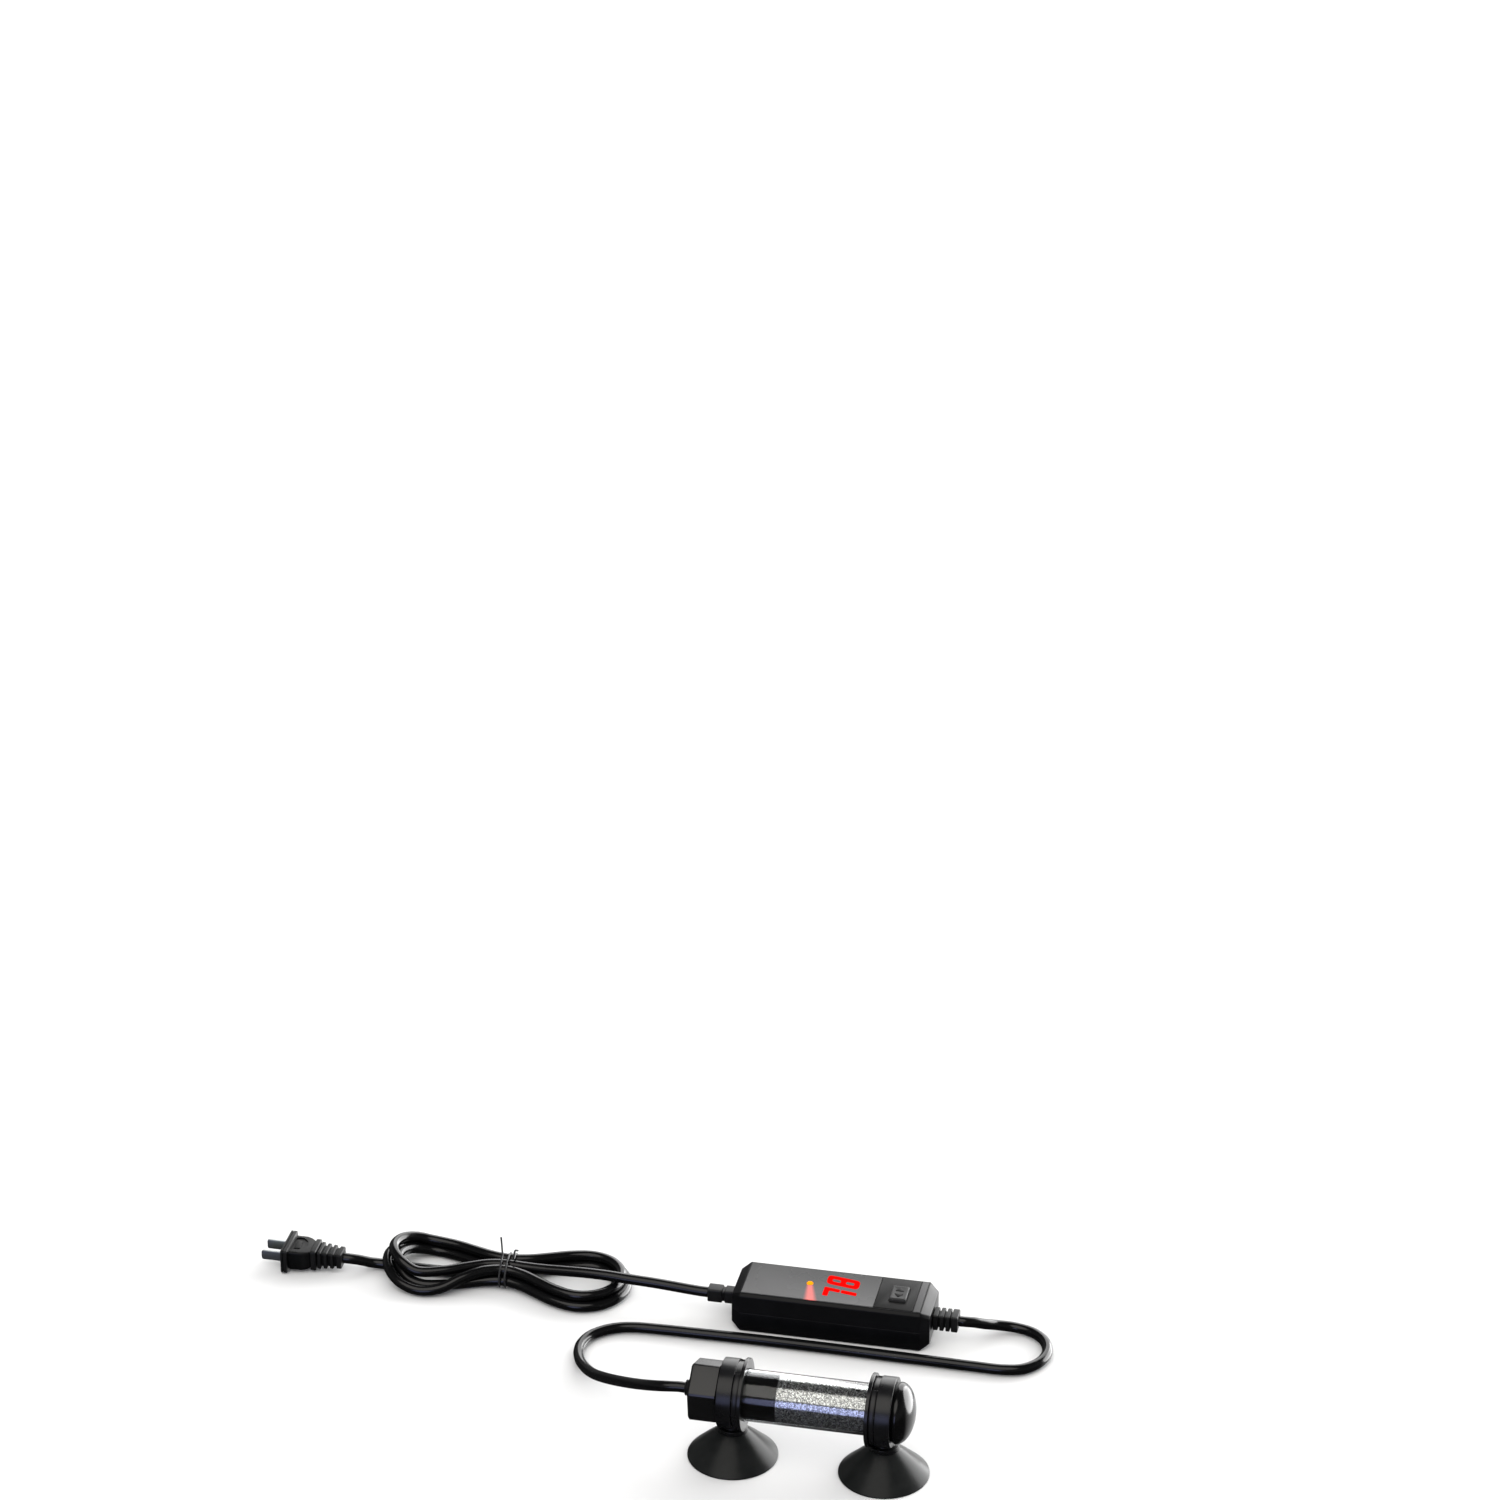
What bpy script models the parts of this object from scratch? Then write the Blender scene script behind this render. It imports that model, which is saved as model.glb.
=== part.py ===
"""Submersible aquarium heater on two suction cups, with an in-line thermostat, leads and a mains plug.

Lengths are in millimetres and become metres where a mesh or a place is made. +Z is up and +X runs along
the heater's tube. The origin is on the surface that the heater and its thermostat stand on, at the centre
of their footprint. "Local" lengths along the heater count from the middle of its tube.
"""

import math

import bmesh
import bpy
from mathutils import Vector
from mathutils.geometry import interpolate_bezier

MM = 0.001
GAP = 0.3
ROUND = 32

# The heater.
HEATER_X = 10.0
HEATER_Y = -70.9
AXIS_HEIGHT = 43.0
TUBE_RADIUS = 15.4
TUBE_WALL = 1.2
TUBE_LEFT = -48.0
TUBE_RIGHT = 46.5
BORE_RADIUS = TUBE_RADIUS + GAP
FILL_RADIUS = TUBE_RADIUS - TUBE_WALL - GAP
BAND_LEFT = -38.5
BAND_RIGHT = -17.5
SAND_RIGHT = 40.2
SAND_BORE = 6.2
CORE_RADIUS = 4.0
CORE_BORE = 1.3
COIL_RADIUS = 4.9
COIL_WIRE = 0.45
COIL_TURNS = 10
WIRE_RADIUS = 0.8
SEAT_RADIUS = 16.9
SEAT_END = 51.6
FLANGE_RADIUS = 21.7
FLANGE_IN = 36.6
FLANGE_OUT = 38.8
NECK_RADIUS = 14.9
NECK_BORE = 12.0
NECK_END = -61.5
SEAT_FLOOR = -50.0
GASKET_RADIUS = 15.2
GASKET_BORE = 12.6
GASKET_THICKNESS = 1.4
NUT_RADIUS = 19.4
NUT_LEFT = -69.2
NUT_TURN = math.radians(37.4)
NUT_CORNER = math.radians(2.5)
BOOT_TIP = -73.5
DOME_RADIUS = 18.3
DOME_SHOULDER = 53.6
DOME_APEX = 63.6
DOME_WALL = 2.2
SPIGOT_BORE = 13.0

# The clips and suction cups.
CLIP_X = 45.3
CLIP_HALF = 6.2
CLIP_RADIUS = 20.7
CLIP_BORE = SEAT_RADIUS + GAP
POST_RADIUS = 6.18
FOOT_RADIUS = 8.8
FOOT_LOW = 18.1
FOOT_TOP = 20.9
POST_TOP = 24.9
SOCKET_LIP = 20.4
SOCKET_TOP = 24.5
KNOB_RADIUS = 4.2
STEM_RADIUS = 2.6
CUP_RADIUS = 26.9
CUP_LIP = 24.4
CUP_TOP = 17.8

# The thermostat's case. Its own lengths count from its middle, at the surface that it stands on.
CASE_X = -3.15
CASE_Y = 78.1
CASE_LENGTH = 123.3
CASE_WIDTH = 39.4
CASE_HEIGHT = 26.6
CASE_SPLIT = 13.1
END_LENGTH = 5.5
END_INSET = 3.7
TOP_BEVEL = 1.8
FOOT_BEVEL = 1.0
WALL = 2.2
CAVITY_HALF = 57.0
CAVITY_TOP = 24.4
ABOVE_CASE = 30.0
RECESS_HALF_LENGTH = 55.7
RECESS_HALF_WIDTH = 17.3
RECESS_DEPTH = 0.8
PANEL_END = RECESS_HALF_LENGTH - GAP
PANEL_HALF_WIDTH = RECESS_HALF_WIDTH - GAP
WINDOW_RIGHT = 26.35
STRIP_LEFT = 51.3
PANEL_TOP = CASE_HEIGHT + 0.25
PANEL_LOW = CASE_HEIGHT - RECESS_DEPTH + GAP
SCREW_X = 52.5
SCREW_Y = 12.6
SCREW_POST_RADIUS = 4.4
SCREW_HEAD_RECESS = 3.0
SCREW_HOLE_RADIUS = 1.6
STANDOFF_X = 42.0
STANDOFF_Y = 11.0
STANDOFF_RADIUS = 2.5
RELIEF_Y = -2.0
RELIEF_Z = 13.8
BUTTON_X = 39.95
BUTTON_Y = -0.8
BUTTON_HALF_X = 5.3
BUTTON_HALF_Y = 7.5
BUTTON_LOW = 24.9
BUTTON_TOP = 28.8
PLUNGER_LOW = 15.7
BUTTON_TRAVEL = 0.7
LED_RADIUS = 2.0
LED_X = -16.05
LED_Y = 0.9
BOARD_LOW = 8.0
BOARD_TOP = 9.6

# The leads, the hank and the plug.
LEAD_RADIUS = 3.3
LEAD_STEP = 2.5 * 2 * LEAD_RADIUS
HANK_X = -212.5
HANK_Y = 85.1
HANK_HALF = 79.3
HANK_LOBE = 30.4
HANK_WAIST = 13.8
HANK_LOW = 0.3
HANK_TOP = 19.8
WAIST_LOW = 1.9
WAIST_TOP = 14.6
TIE_RADIUS = 0.6
PLUG_EXIT_X = -315.8
PLUG_Y = 75.0
PLUG_Z = 8.4
PLUG_LENGTH = 37.2
BLADE_SPACING = 12.7
BLADE_WIDTH = 6.35
BLADE_THICKNESS = 1.5
BLADE_LENGTH = 14.0

HEATER_LEAD_ROUTE = [
    (-63.8, -70.9, 43.0),
    (-67.8, -70.9, 43.0),
    (-72.0, -71.0, 42.7),
    (-78.0, -70.3, 41.6),
    (-86.0, -67.1, 38.9),
    (-94.5, -61.1, 34.6),
    (-103.6, -52.7, 29.0),
    (-113.2, -42.6, 22.6),
    (-123.0, -31.5, 16.0),
    (-132.0, -21.0, 10.6),
    (-139.8, -9.9, 6.7),
    (-145.6, 1.0, 4.4),
    (-148.8, 11.0, 3.7),
    (-149.0, 20.0, 3.6),
    (-146.0, 28.6, 3.6),
    (-139.4, 36.0, 3.6),
    (-131.0, 41.0, 3.6),
    (-121.0, 43.6, 3.6),
    (-105.0, 44.6, 3.6),
    (-80.0, 45.2, 3.6),
    (-47.0, 45.8, 3.6),
    (4.0, 45.8, 3.6),
    (40.0, 45.3, 3.6),
    (70.0, 44.8, 3.6),
    (90.0, 44.5, 3.6),
    (106.7, 44.7, 3.6),
    (118.4, 47.8, 3.6),
    (126.9, 56.4, 3.6),
    (130.0, 68.0, 3.6),
    (126.9, 79.7, 3.6),
    (118.4, 88.2, 3.6),
    (106.7, 91.3, 3.9),
    (96.5, 88.8, 5.8),
    (88.8, 82.6, 9.6),
    (82.6, 78.4, 12.6),
    (78.0, 76.2, 13.8),
    (74.4, 76.1, 13.8),
]
MAINS_LEAD_ROUTE = [
    (-82.5, 76.1, 13.8),
    (-86.0, 76.1, 13.8),
    (-92.0, 76.1, 14.1),
    (-104.0, 75.8, 15.2),
    (-117.0, 75.9, 16.0),
    (-132.7, 76.6, 16.2),
]
MAINS_TAIL_ROUTE = [
    (-292.3, 80.6, 3.7),
    (-299.0, 79.6, 4.4),
    (-306.0, 76.6, 7.2),
    (-312.0, 75.0, 8.4),
    (-315.5, 75.0, 8.4),
]


def clear_scene():
    for obj in list(bpy.data.objects):
        bpy.data.objects.remove(obj, do_unlink=True)


def material(name, colour, roughness, metallic=0.0, alpha=1.0):
    made = bpy.data.materials.new(name)
    made.use_nodes = True
    shader = made.node_tree.nodes["Principled BSDF"]
    shader.inputs["Base Color"].default_value = (*colour, 1.0)
    shader.inputs["Roughness"].default_value = roughness
    shader.inputs["Metallic"].default_value = metallic
    shader.inputs["Alpha"].default_value = alpha
    return made


def empty(name, x, y, z, parent=None):
    made = bpy.data.objects.new(name, None)
    bpy.context.scene.collection.objects.link(made)
    made.location = Vector((x, y, z)) * MM
    made.parent = parent
    return made


def place(obj, parent, x=0.0, y=0.0, z=0.0, rotation=(0.0, 0.0, 0.0)):
    bpy.context.scene.collection.objects.link(obj)
    obj.parent = parent
    obj.location = Vector((x, y, z)) * MM
    obj.rotation_euler = rotation
    return obj


def object_from(name, bm, finish):
    """The bmesh, built in millimetres, as an object with its faces pointing out."""
    bmesh.ops.scale(bm, vec=(MM, MM, MM), verts=bm.verts)
    bmesh.ops.recalc_face_normals(bm, faces=bm.faces)
    mesh = bpy.data.meshes.new(name)
    bm.to_mesh(mesh)
    bm.free()
    mesh.materials.append(finish)
    mesh.shade_smooth()
    mesh.set_sharp_from_angle(angle=math.radians(35))
    return bpy.data.objects.new(name, mesh)


def turned(name, outline, finish, segments=ROUND):
    """A solid of revolution about its own Z, from a closed outline of (radius, height) points."""
    bm = bmesh.new()
    rings = []
    for radius, height in outline:
        if radius < 1e-6:
            rings.append([bm.verts.new((0, 0, height))])
            continue
        angles = [2 * math.pi * i / segments for i in range(segments)]
        rings.append([bm.verts.new((radius * math.cos(a), radius * math.sin(a), height)) for a in angles])
    for ring, after in zip(rings, rings[1:] + rings[:1]):
        if len(ring) == 1 and len(after) == 1:
            continue
        for i in range(segments):
            j = (i + 1) % segments
            corners = [ring[i % len(ring)], ring[j % len(ring)], after[j % len(after)], after[i % len(after)]]
            bm.faces.new(list(dict.fromkeys(corners)))
    return object_from(name, bm, finish)


def lofted(name, sections, finish):
    """A solid through matching sections, each a list of (x, y, z) corners, with flat ends."""
    bm = bmesh.new()
    rings = [[bm.verts.new(point) for point in section] for section in sections]
    for ring, after in zip(rings, rings[1:]):
        for i in range(len(ring)):
            j = (i + 1) % len(ring)
            bm.faces.new((ring[i], ring[j], after[j], after[i]))
    bm.faces.new(rings[0])
    bm.faces.new(rings[-1])
    return object_from(name, bm, finish)


def box(name, low, high, finish, bevel=0.0):
    """A block from its lowest to its highest corner, with its edges broken by a bevel."""
    bm = bmesh.new()
    bmesh.ops.create_cube(bm, size=1.0)
    size = Vector(high) - Vector(low)
    bmesh.ops.scale(bm, vec=size, verts=bm.verts)
    bmesh.ops.translate(bm, vec=Vector(low) + size / 2, verts=bm.verts)
    if bevel:
        bmesh.ops.bevel(bm, geom=bm.edges[:], offset=bevel, segments=1, affect="EDGES")
    return object_from(name, bm, finish)


def rod(name, radius, low, high, finish, segments=16):
    return turned(name, [(0, low), (radius, low), (radius, high), (0, high)], finish, segments)


def sleeve(name, outer, inner, low, high, finish, segments=ROUND):
    outline = [(outer, low), (outer, high), (inner, high), (inner, low)]
    return turned(name, outline, finish, segments)


def tube(name, points, radius, finish, sides_level=2):
    """A round cord through the points, with flat ends."""
    curve = bpy.data.curves.new(name, "CURVE")
    curve.dimensions = "3D"
    curve.bevel_depth = radius * MM
    curve.bevel_resolution = sides_level
    curve.use_fill_caps = True
    spline = curve.splines.new("POLY")
    spline.points.add(len(points) - 1)
    for at, point in zip(spline.points, points):
        at.co = (*(Vector(point) * MM), 1.0)
    spline.use_smooth = True
    curve.materials.append(finish)
    return bpy.data.objects.new(name, curve)


def combine(target, other, operation):
    """Boolean of a target with a helper that isn't a part of its own."""
    other.hide_render = True
    other.display_type = "WIRE"
    modifier = target.modifiers.new(operation.lower(), "BOOLEAN")
    modifier.operation = operation
    modifier.object = other


def smooth_route(route, step):
    """Evenly spaced points on the smooth curve through a route's points."""
    knots = [Vector(point) for point in route]
    dense = []
    for i in range(len(knots) - 1):
        before = knots[max(i - 1, 0)]
        after = knots[min(i + 2, len(knots) - 1)]
        start, end = knots[i], knots[i + 1]
        span = (end - start).length
        lead_in = (end - before).normalized() * span / 3
        lead_out = (after - start).normalized() * span / 3
        dense.extend(interpolate_bezier(start, start + lead_in, end - lead_out, end, 24)[:-1])
    dense.append(knots[-1])
    total = sum((b - a).length for a, b in zip(dense, dense[1:]))
    count = max(2, round(total / step))
    points, travelled, target = [dense[0]], 0.0, total / count
    for a, b in zip(dense, dense[1:]):
        length = (b - a).length
        while travelled + length >= target and len(points) < count:
            points.append(a.lerp(b, (target - travelled) / length))
            target += total / count
        travelled += length
    return points + [dense[-1]]


def cut_corner_block(x, y, z, half_width, half_height, corner):
    """An eight-cornered section at x, square to X, about the point (y, z)."""
    w, h, c = half_width, half_height, corner
    lower = [(-w, -h + c), (-w + c, -h), (w - c, -h), (w, -h + c)]
    outline = lower + [(dy, -dz) for dy, dz in reversed(lower)]
    return [(x, y + dy, z + dz) for dy, dz in outline]


# ---- The heater ----

ALONG_X = (0.0, math.pi / 2, 0.0)


def heater_tube(axis, finishes):
    inner = TUBE_RADIUS - TUBE_WALL
    glass = sleeve("glass_tube", TUBE_RADIUS, inner, TUBE_LEFT, TUBE_RIGHT, finishes["glass"])
    place(glass, axis, rotation=ALONG_X)
    sand = sleeve("sand_fill", FILL_RADIUS, SAND_BORE, BAND_RIGHT + GAP, SAND_RIGHT, finishes["sand"])
    place(sand, axis, rotation=ALONG_X)
    plug = rod("seal_plug_left", FILL_RADIUS, BAND_LEFT, BAND_RIGHT, finishes["black_rubber"], ROUND)
    place(plug, axis, rotation=ALONG_X)
    for name, offset in (("neutral_hole", 0.0), ("live_hole", COIL_RADIUS)):
        hole = rod(name, WIRE_RADIUS + GAP, BAND_LEFT - 1, BAND_RIGHT + 1, finishes["black_rubber"], 12)
        place(hole, axis, y=offset, rotation=ALONG_X)
        combine(plug, hole, "DIFFERENCE")
    end_left, end_right = SAND_RIGHT + GAP, TUBE_RIGHT - GAP
    end = rod("seal_plug_right", FILL_RADIUS, end_left, end_right, finishes["black_rubber"], ROUND)
    place(end, axis, rotation=ALONG_X)


def heating_element(axis, finishes):
    core_left = BAND_RIGHT + 1.0
    core_right = SAND_RIGHT - GAP
    core = sleeve("ceramic_core", CORE_RADIUS, CORE_BORE, core_left, core_right, finishes["ceramic"], 20)
    place(core, axis, rotation=ALONG_X)
    coil_left, coil_right, per_turn = core_left + 1.3, core_right - 1.5, 9
    steps = COIL_TURNS * per_turn
    helix = []
    for i in range(steps + 1):
        angle = 2 * math.pi * i / per_turn
        along = coil_left + (coil_right - coil_left) * i / steps
        helix.append((along, COIL_RADIUS * math.cos(angle), COIL_RADIUS * math.sin(angle)))
    place(tube("heating_coil", helix, COIL_WIRE, finishes["steel"], 1), axis)
    live = rod("lead_wire_live", WIRE_RADIUS, NECK_END + 0.1, coil_left - 1.0, finishes["wire_red"], 10)
    place(live, axis, y=COIL_RADIUS, rotation=ALONG_X)
    neutral = rod("lead_wire_neutral", WIRE_RADIUS, NECK_END - 0.9, SAND_RIGHT, finishes["wire_white"], 10)
    place(neutral, axis, rotation=ALONG_X)
    fuse = rod("thermal_fuse", 1.6, -46.5, -39.5, finishes["steel"], 12)
    place(fuse, axis, y=-6.0, z=3.0, rotation=ALONG_X)
    sensor = turned(
        "temperature_sensor",
        [(0, -46.0), (1.0, -45.6), (1.4, -44.6), (1.4, -41.6), (1.0, -40.6), (0, -40.2)],
        finishes["epoxy"],
        12,
    )
    place(sensor, axis, y=-6.0, z=-4.0, rotation=ALONG_X)


def end_caps(axis, finishes):
    left = [
        (SEAT_RADIUS, -FLANGE_OUT),
        (FLANGE_RADIUS, -FLANGE_OUT),
        (FLANGE_RADIUS, -FLANGE_IN),
        (BORE_RADIUS, -FLANGE_IN),
        (BORE_RADIUS, SEAT_FLOOR),
        (NECK_BORE, SEAT_FLOOR),
        (NECK_BORE, NECK_END),
        (NECK_RADIUS, NECK_END),
        (NECK_RADIUS, -SEAT_END),
        (SEAT_RADIUS, -SEAT_END),
    ]
    place(turned("left_end_cap", left, finishes["black_plastic"]), axis, rotation=ALONG_X)
    right = [
        (SEAT_RADIUS, FLANGE_OUT),
        (SEAT_RADIUS, SEAT_END),
        (BORE_RADIUS, SEAT_END),
        (BORE_RADIUS, FLANGE_IN),
        (FLANGE_RADIUS, FLANGE_IN),
        (FLANGE_RADIUS, FLANGE_OUT),
    ]
    place(turned("right_end_cap", right, finishes["black_plastic"]), axis, rotation=ALONG_X)
    for name, low in (("tube_gasket_left", SEAT_FLOOR + GAP), ("tube_gasket_right", TUBE_RIGHT + GAP)):
        high = low + GASKET_THICKNESS
        ring = sleeve(name, GASKET_RADIUS, GASKET_BORE, low, high, finishes["black_rubber"], 24)
        place(ring, axis, rotation=ALONG_X)
    place(dome_cap(finishes), axis, rotation=ALONG_X)


def dome_cap(finishes):
    """A hollow flattened dome with a spigot that fits the end cap's bore."""
    rim, spigot_end, steps = SEAT_END + GAP, TUBE_RIGHT + 2.0, 5
    rise = DOME_APEX - DOME_SHOULDER
    outside, inside = [], []
    for i in range(steps + 1):
        angle = math.pi / 2 * i / steps
        outside.append((DOME_RADIUS * math.sin(angle), DOME_SHOULDER + rise * math.cos(angle)))
        inside.append((SPIGOT_BORE * math.sin(angle), DOME_SHOULDER + (rise - DOME_WALL) * math.cos(angle)))
    spigot = [(DOME_RADIUS, rim), (TUBE_RADIUS, rim), (TUBE_RADIUS, spigot_end), (SPIGOT_BORE, spigot_end)]
    return turned("dome_cap", outside + spigot + inside[::-1], finishes["black_gloss"])


def nut_section(x, radius):
    """A hexagon about the axis at x, its six corners cut off."""
    section = []
    for corner in range(6):
        for cut in (-NUT_CORNER, NUT_CORNER):
            angle = NUT_TURN + corner * math.pi / 3 + cut
            reach = radius * math.cos(math.pi / 6) / math.cos(math.pi / 6 - NUT_CORNER)
            section.append((x, reach * math.cos(angle), reach * math.sin(angle)))
    return section


def cable_gland(axis, finishes):
    nut_right, nut_floor, hole, chamfer = -SEAT_END - GAP, -64.0, 3.9, 0.8
    ends = ((NUT_LEFT, 1), (NUT_LEFT + chamfer, 0), (nut_right - chamfer, 0), (nut_right, 1))
    sections = [nut_section(x, NUT_RADIUS - chamfer * cut) for x, cut in ends]
    nut = place(lofted("gland_nut", sections, finishes["black_plastic"]), axis)
    bore_radius = NECK_RADIUS + 0.4
    bore_profile = [(0, NUT_LEFT - 1), (hole, NUT_LEFT - 1), (hole, nut_floor)]
    bore_profile += [(bore_radius, nut_floor), (bore_radius, nut_right + 1), (0, nut_right + 1)]
    bore = place(turned("nut_bore", bore_profile, finishes["black_plastic"], 24), axis, rotation=ALONG_X)
    combine(nut, bore, "DIFFERENCE")
    washer_low, washer_high = nut_floor + GAP, NECK_END - GAP
    washer = sleeve(
        "gland_seal", NECK_RADIUS, hole + 0.1, washer_low, washer_high, finishes["black_rubber"], 24
    )
    place(washer, axis, rotation=ALONG_X)
    collar, stem, stem_end = NUT_LEFT - GAP, 3.6, -62.9
    boot = [(0, BOOT_TIP), (4.6, BOOT_TIP), (5.3, BOOT_TIP + 0.6), (5.8, collar)]
    boot += [(stem, collar), (stem, stem_end), (0, stem_end)]
    place(turned("cable_boot", boot, finishes["black_rubber"], 20), axis, rotation=ALONG_X)


# ---- The clips and suction cups ----


def clip(name, pivot, inner_side, finishes):
    """A ring that turns on an end cap, grooved near its inner side, with a foot under it for its cup."""
    groove, groove_end, collar = CLIP_RADIUS - 1.4, 3.2, CLIP_RADIUS - 0.5
    outline = [
        (CLIP_RADIUS - 0.4, -CLIP_HALF),
        (CLIP_RADIUS, -CLIP_HALF + 0.4),
        (CLIP_RADIUS, 2.6),
        (groove, 2.7),
        (groove, groove_end),
        (collar, groove_end),
        (collar, CLIP_HALF),
        (CLIP_BORE, CLIP_HALF),
        (CLIP_BORE, -CLIP_HALF),
    ]
    outline = [(radius, inner_side * along) for radius, along in outline]
    ring = place(turned(name, outline, finishes["black_satin"]), pivot, rotation=ALONG_X)
    low, foot_top, post_top = (level - AXIS_HEIGHT for level in (FOOT_LOW, FOOT_TOP, POST_TOP))
    stand = [(0, low), (FOOT_RADIUS, low), (FOOT_RADIUS, foot_top), (POST_RADIUS, foot_top)]
    stand += [(POST_RADIUS, post_top), (0, post_top)]
    combine(ring, place(turned(name + "_stand", stand, finishes["black_satin"], 24), pivot), "UNION")
    stem_hole, knob_hole = STEM_RADIUS + 0.4, KNOB_RADIUS + 0.4
    lip_top, hole_top = SOCKET_LIP - AXIS_HEIGHT, SOCKET_TOP - AXIS_HEIGHT
    socket = [(0, low - 1), (stem_hole, low - 1), (stem_hole, lip_top), (knob_hole, lip_top)]
    socket += [(knob_hole, hole_top), (0, hole_top)]
    combine(ring, place(turned(name + "_socket", socket, finishes["black_satin"], 24), pivot), "DIFFERENCE")


def suction_cup(name, pivot, finishes):
    """A straight-sided cone with a shallow hollow under it and a knob on a stem."""
    hollow = [(CUP_LIP, 0.0), (20.0, 2.2), (14.0, 4.7), (7.0, 6.4), (0.0, 7.0)]
    outside = [(CUP_RADIUS, 0.0), (CUP_RADIUS, 0.7), (FOOT_RADIUS, CUP_TOP), (STEM_RADIUS, CUP_TOP)]
    knob = [(STEM_RADIUS, 20.7), (KNOB_RADIUS, 20.9), (KNOB_RADIUS, 23.2), (3.4, 24.0), (0.0, 24.0)]
    place(turned(name, outside + knob + hollow[::-1], finishes["cup_rubber"]), pivot)


def mountings(finishes):
    for side, inner_side in (("left", 1), ("right", -1)):
        x = HEATER_X - inner_side * CLIP_X
        clip_pivot = empty(side + "_clip_axis", x, HEATER_Y, AXIS_HEIGHT)
        clip(side + "_clip", clip_pivot, inner_side, finishes)
        cup_pivot = empty(side + "_cup_axis", 0, 0, -AXIS_HEIGHT, clip_pivot)
        suction_cup(side + "_cup", cup_pivot, finishes)


# ---- The thermostat ----


def case_half(name, low, high, finish):
    """Half of the case: a long block whose ends taper in on all sides, cut at the level of the seam."""
    half, width = CASE_LENGTH / 2, CASE_WIDTH / 2
    sections = []
    for x, taper in ((-half, 1), (-half + END_LENGTH, 0), (half - END_LENGTH, 0), (half, 1)):
        w = width - END_INSET * taper
        if low == 0:
            bottom = END_INSET * taper
            sides = [(w, bottom + FOOT_BEVEL), (w, high)]
            ends = (w - FOOT_BEVEL, bottom)
        else:
            top = CASE_HEIGHT - END_INSET * taper
            sides = [(w, top - TOP_BEVEL), (w, low)]
            ends = (w - TOP_BEVEL, top)
        right = [ends] + sides
        outline = right + [(-y, z) for y, z in right[::-1]]
        sections.append([(x, y, z) for y, z in outline])
    return lofted(name, sections, finish)


def button_hole(name, finish):
    low = (-BUTTON_HALF_X - GAP, -BUTTON_HALF_Y - GAP, CAVITY_TOP - 4.4)
    return box(name, low, (BUTTON_HALF_X + GAP, BUTTON_HALF_Y + GAP, ABOVE_CASE), finish)


def led_hole(name, finish):
    return rod(name, LED_RADIUS + GAP, CAVITY_TOP - 4.4, ABOVE_CASE, finish)


def relief_hole(case, place_at, finish):
    for side in (-1, 1):
        outer, inner = side * (CASE_LENGTH / 2 + 2), side * (CAVITY_HALF - 1)
        low = (min(outer, inner), RELIEF_Y - 4.0, RELIEF_Z - 4.0)
        high = (max(outer, inner), RELIEF_Y + 4.0, RELIEF_Z + 4.0)
        cutter = place(box(f"{case.name}_relief_hole_{side}", low, high, finish), place_at)
        combine(case, cutter, "DIFFERENCE")


def screw_places():
    return [(x, y) for x in (-SCREW_X, SCREW_X) for y in (-SCREW_Y, SCREW_Y)]


def lower_case(centre, finishes):
    finish = finishes["black_plastic"]
    case = place(case_half("lower_case", 0.0, CASE_SPLIT, finish), centre)
    inside = CASE_WIDTH / 2 - WALL
    cavity = box("lower_cavity", (-CAVITY_HALF, -inside, WALL), (CAVITY_HALF, inside, 20.0), finish)
    combine(case, place(cavity, centre), "DIFFERENCE")
    relief_hole(case, centre, finish)
    for i, (x, y) in enumerate(screw_places()):
        post = rod(f"lower_post_{i}", SCREW_POST_RADIUS, 1.0, CASE_SPLIT, finish)
        combine(case, place(post, centre, x, y), "UNION")
        head, hole = SCREW_HEAD_RECESS, SCREW_HOLE_RADIUS
        profile = [(0, -1.0), (head, -1.0), (head, 3.0), (hole, 3.0), (hole, 20.0), (0, 20.0)]
        combine(case, place(turned(f"screw_hole_{i}", profile, finish, 16), centre, x, y), "DIFFERENCE")
    corners = [(x, y) for x in (-STANDOFF_X, STANDOFF_X) for y in (-STANDOFF_Y, STANDOFF_Y)]
    for i, (x, y) in enumerate(corners):
        standoff = rod(f"standoff_{i}", STANDOFF_RADIUS, 1.0, BOARD_LOW - GAP, finish, 12)
        combine(case, place(standoff, centre, x, y), "UNION")


def upper_case(centre, finishes):
    finish = finishes["black_plastic"]
    case = place(case_half("upper_case", CASE_SPLIT + GAP, CASE_HEIGHT, finish), centre)
    inside = CASE_WIDTH / 2 - WALL
    cavity = box("upper_cavity", (-CAVITY_HALF, -inside, 5.0), (CAVITY_HALF, inside, CAVITY_TOP), finish)
    combine(case, place(cavity, centre), "DIFFERENCE")
    low = (-RECESS_HALF_LENGTH, -RECESS_HALF_WIDTH, CASE_HEIGHT - RECESS_DEPTH)
    recess = box("panel_recess", low, (RECESS_HALF_LENGTH, RECESS_HALF_WIDTH, ABOVE_CASE), finish)
    combine(case, place(recess, centre), "DIFFERENCE")
    relief_hole(case, centre, finish)
    for i, (x, y) in enumerate(screw_places()):
        post = rod(f"upper_post_{i}", SCREW_POST_RADIUS, CASE_SPLIT + GAP, CAVITY_TOP + 0.8, finish)
        combine(case, place(post, centre, x, y), "UNION")
        pilot = rod(f"pilot_hole_{i}", SCREW_HOLE_RADIUS, 10.0, 21.0, finish, 12)
        combine(case, place(pilot, centre, x, y), "DIFFERENCE")
    display = box("display_hole", (-9.2, -14.6, 20.0), (17.0, 15.3, ABOVE_CASE), finish)
    combine(case, place(display, centre), "DIFFERENCE")
    combine(case, place(led_hole("led_hole", finish), centre, LED_X, LED_Y), "DIFFERENCE")
    combine(case, place(button_hole("button_hole", finish), centre, BUTTON_X, BUTTON_Y), "DIFFERENCE")


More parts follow.
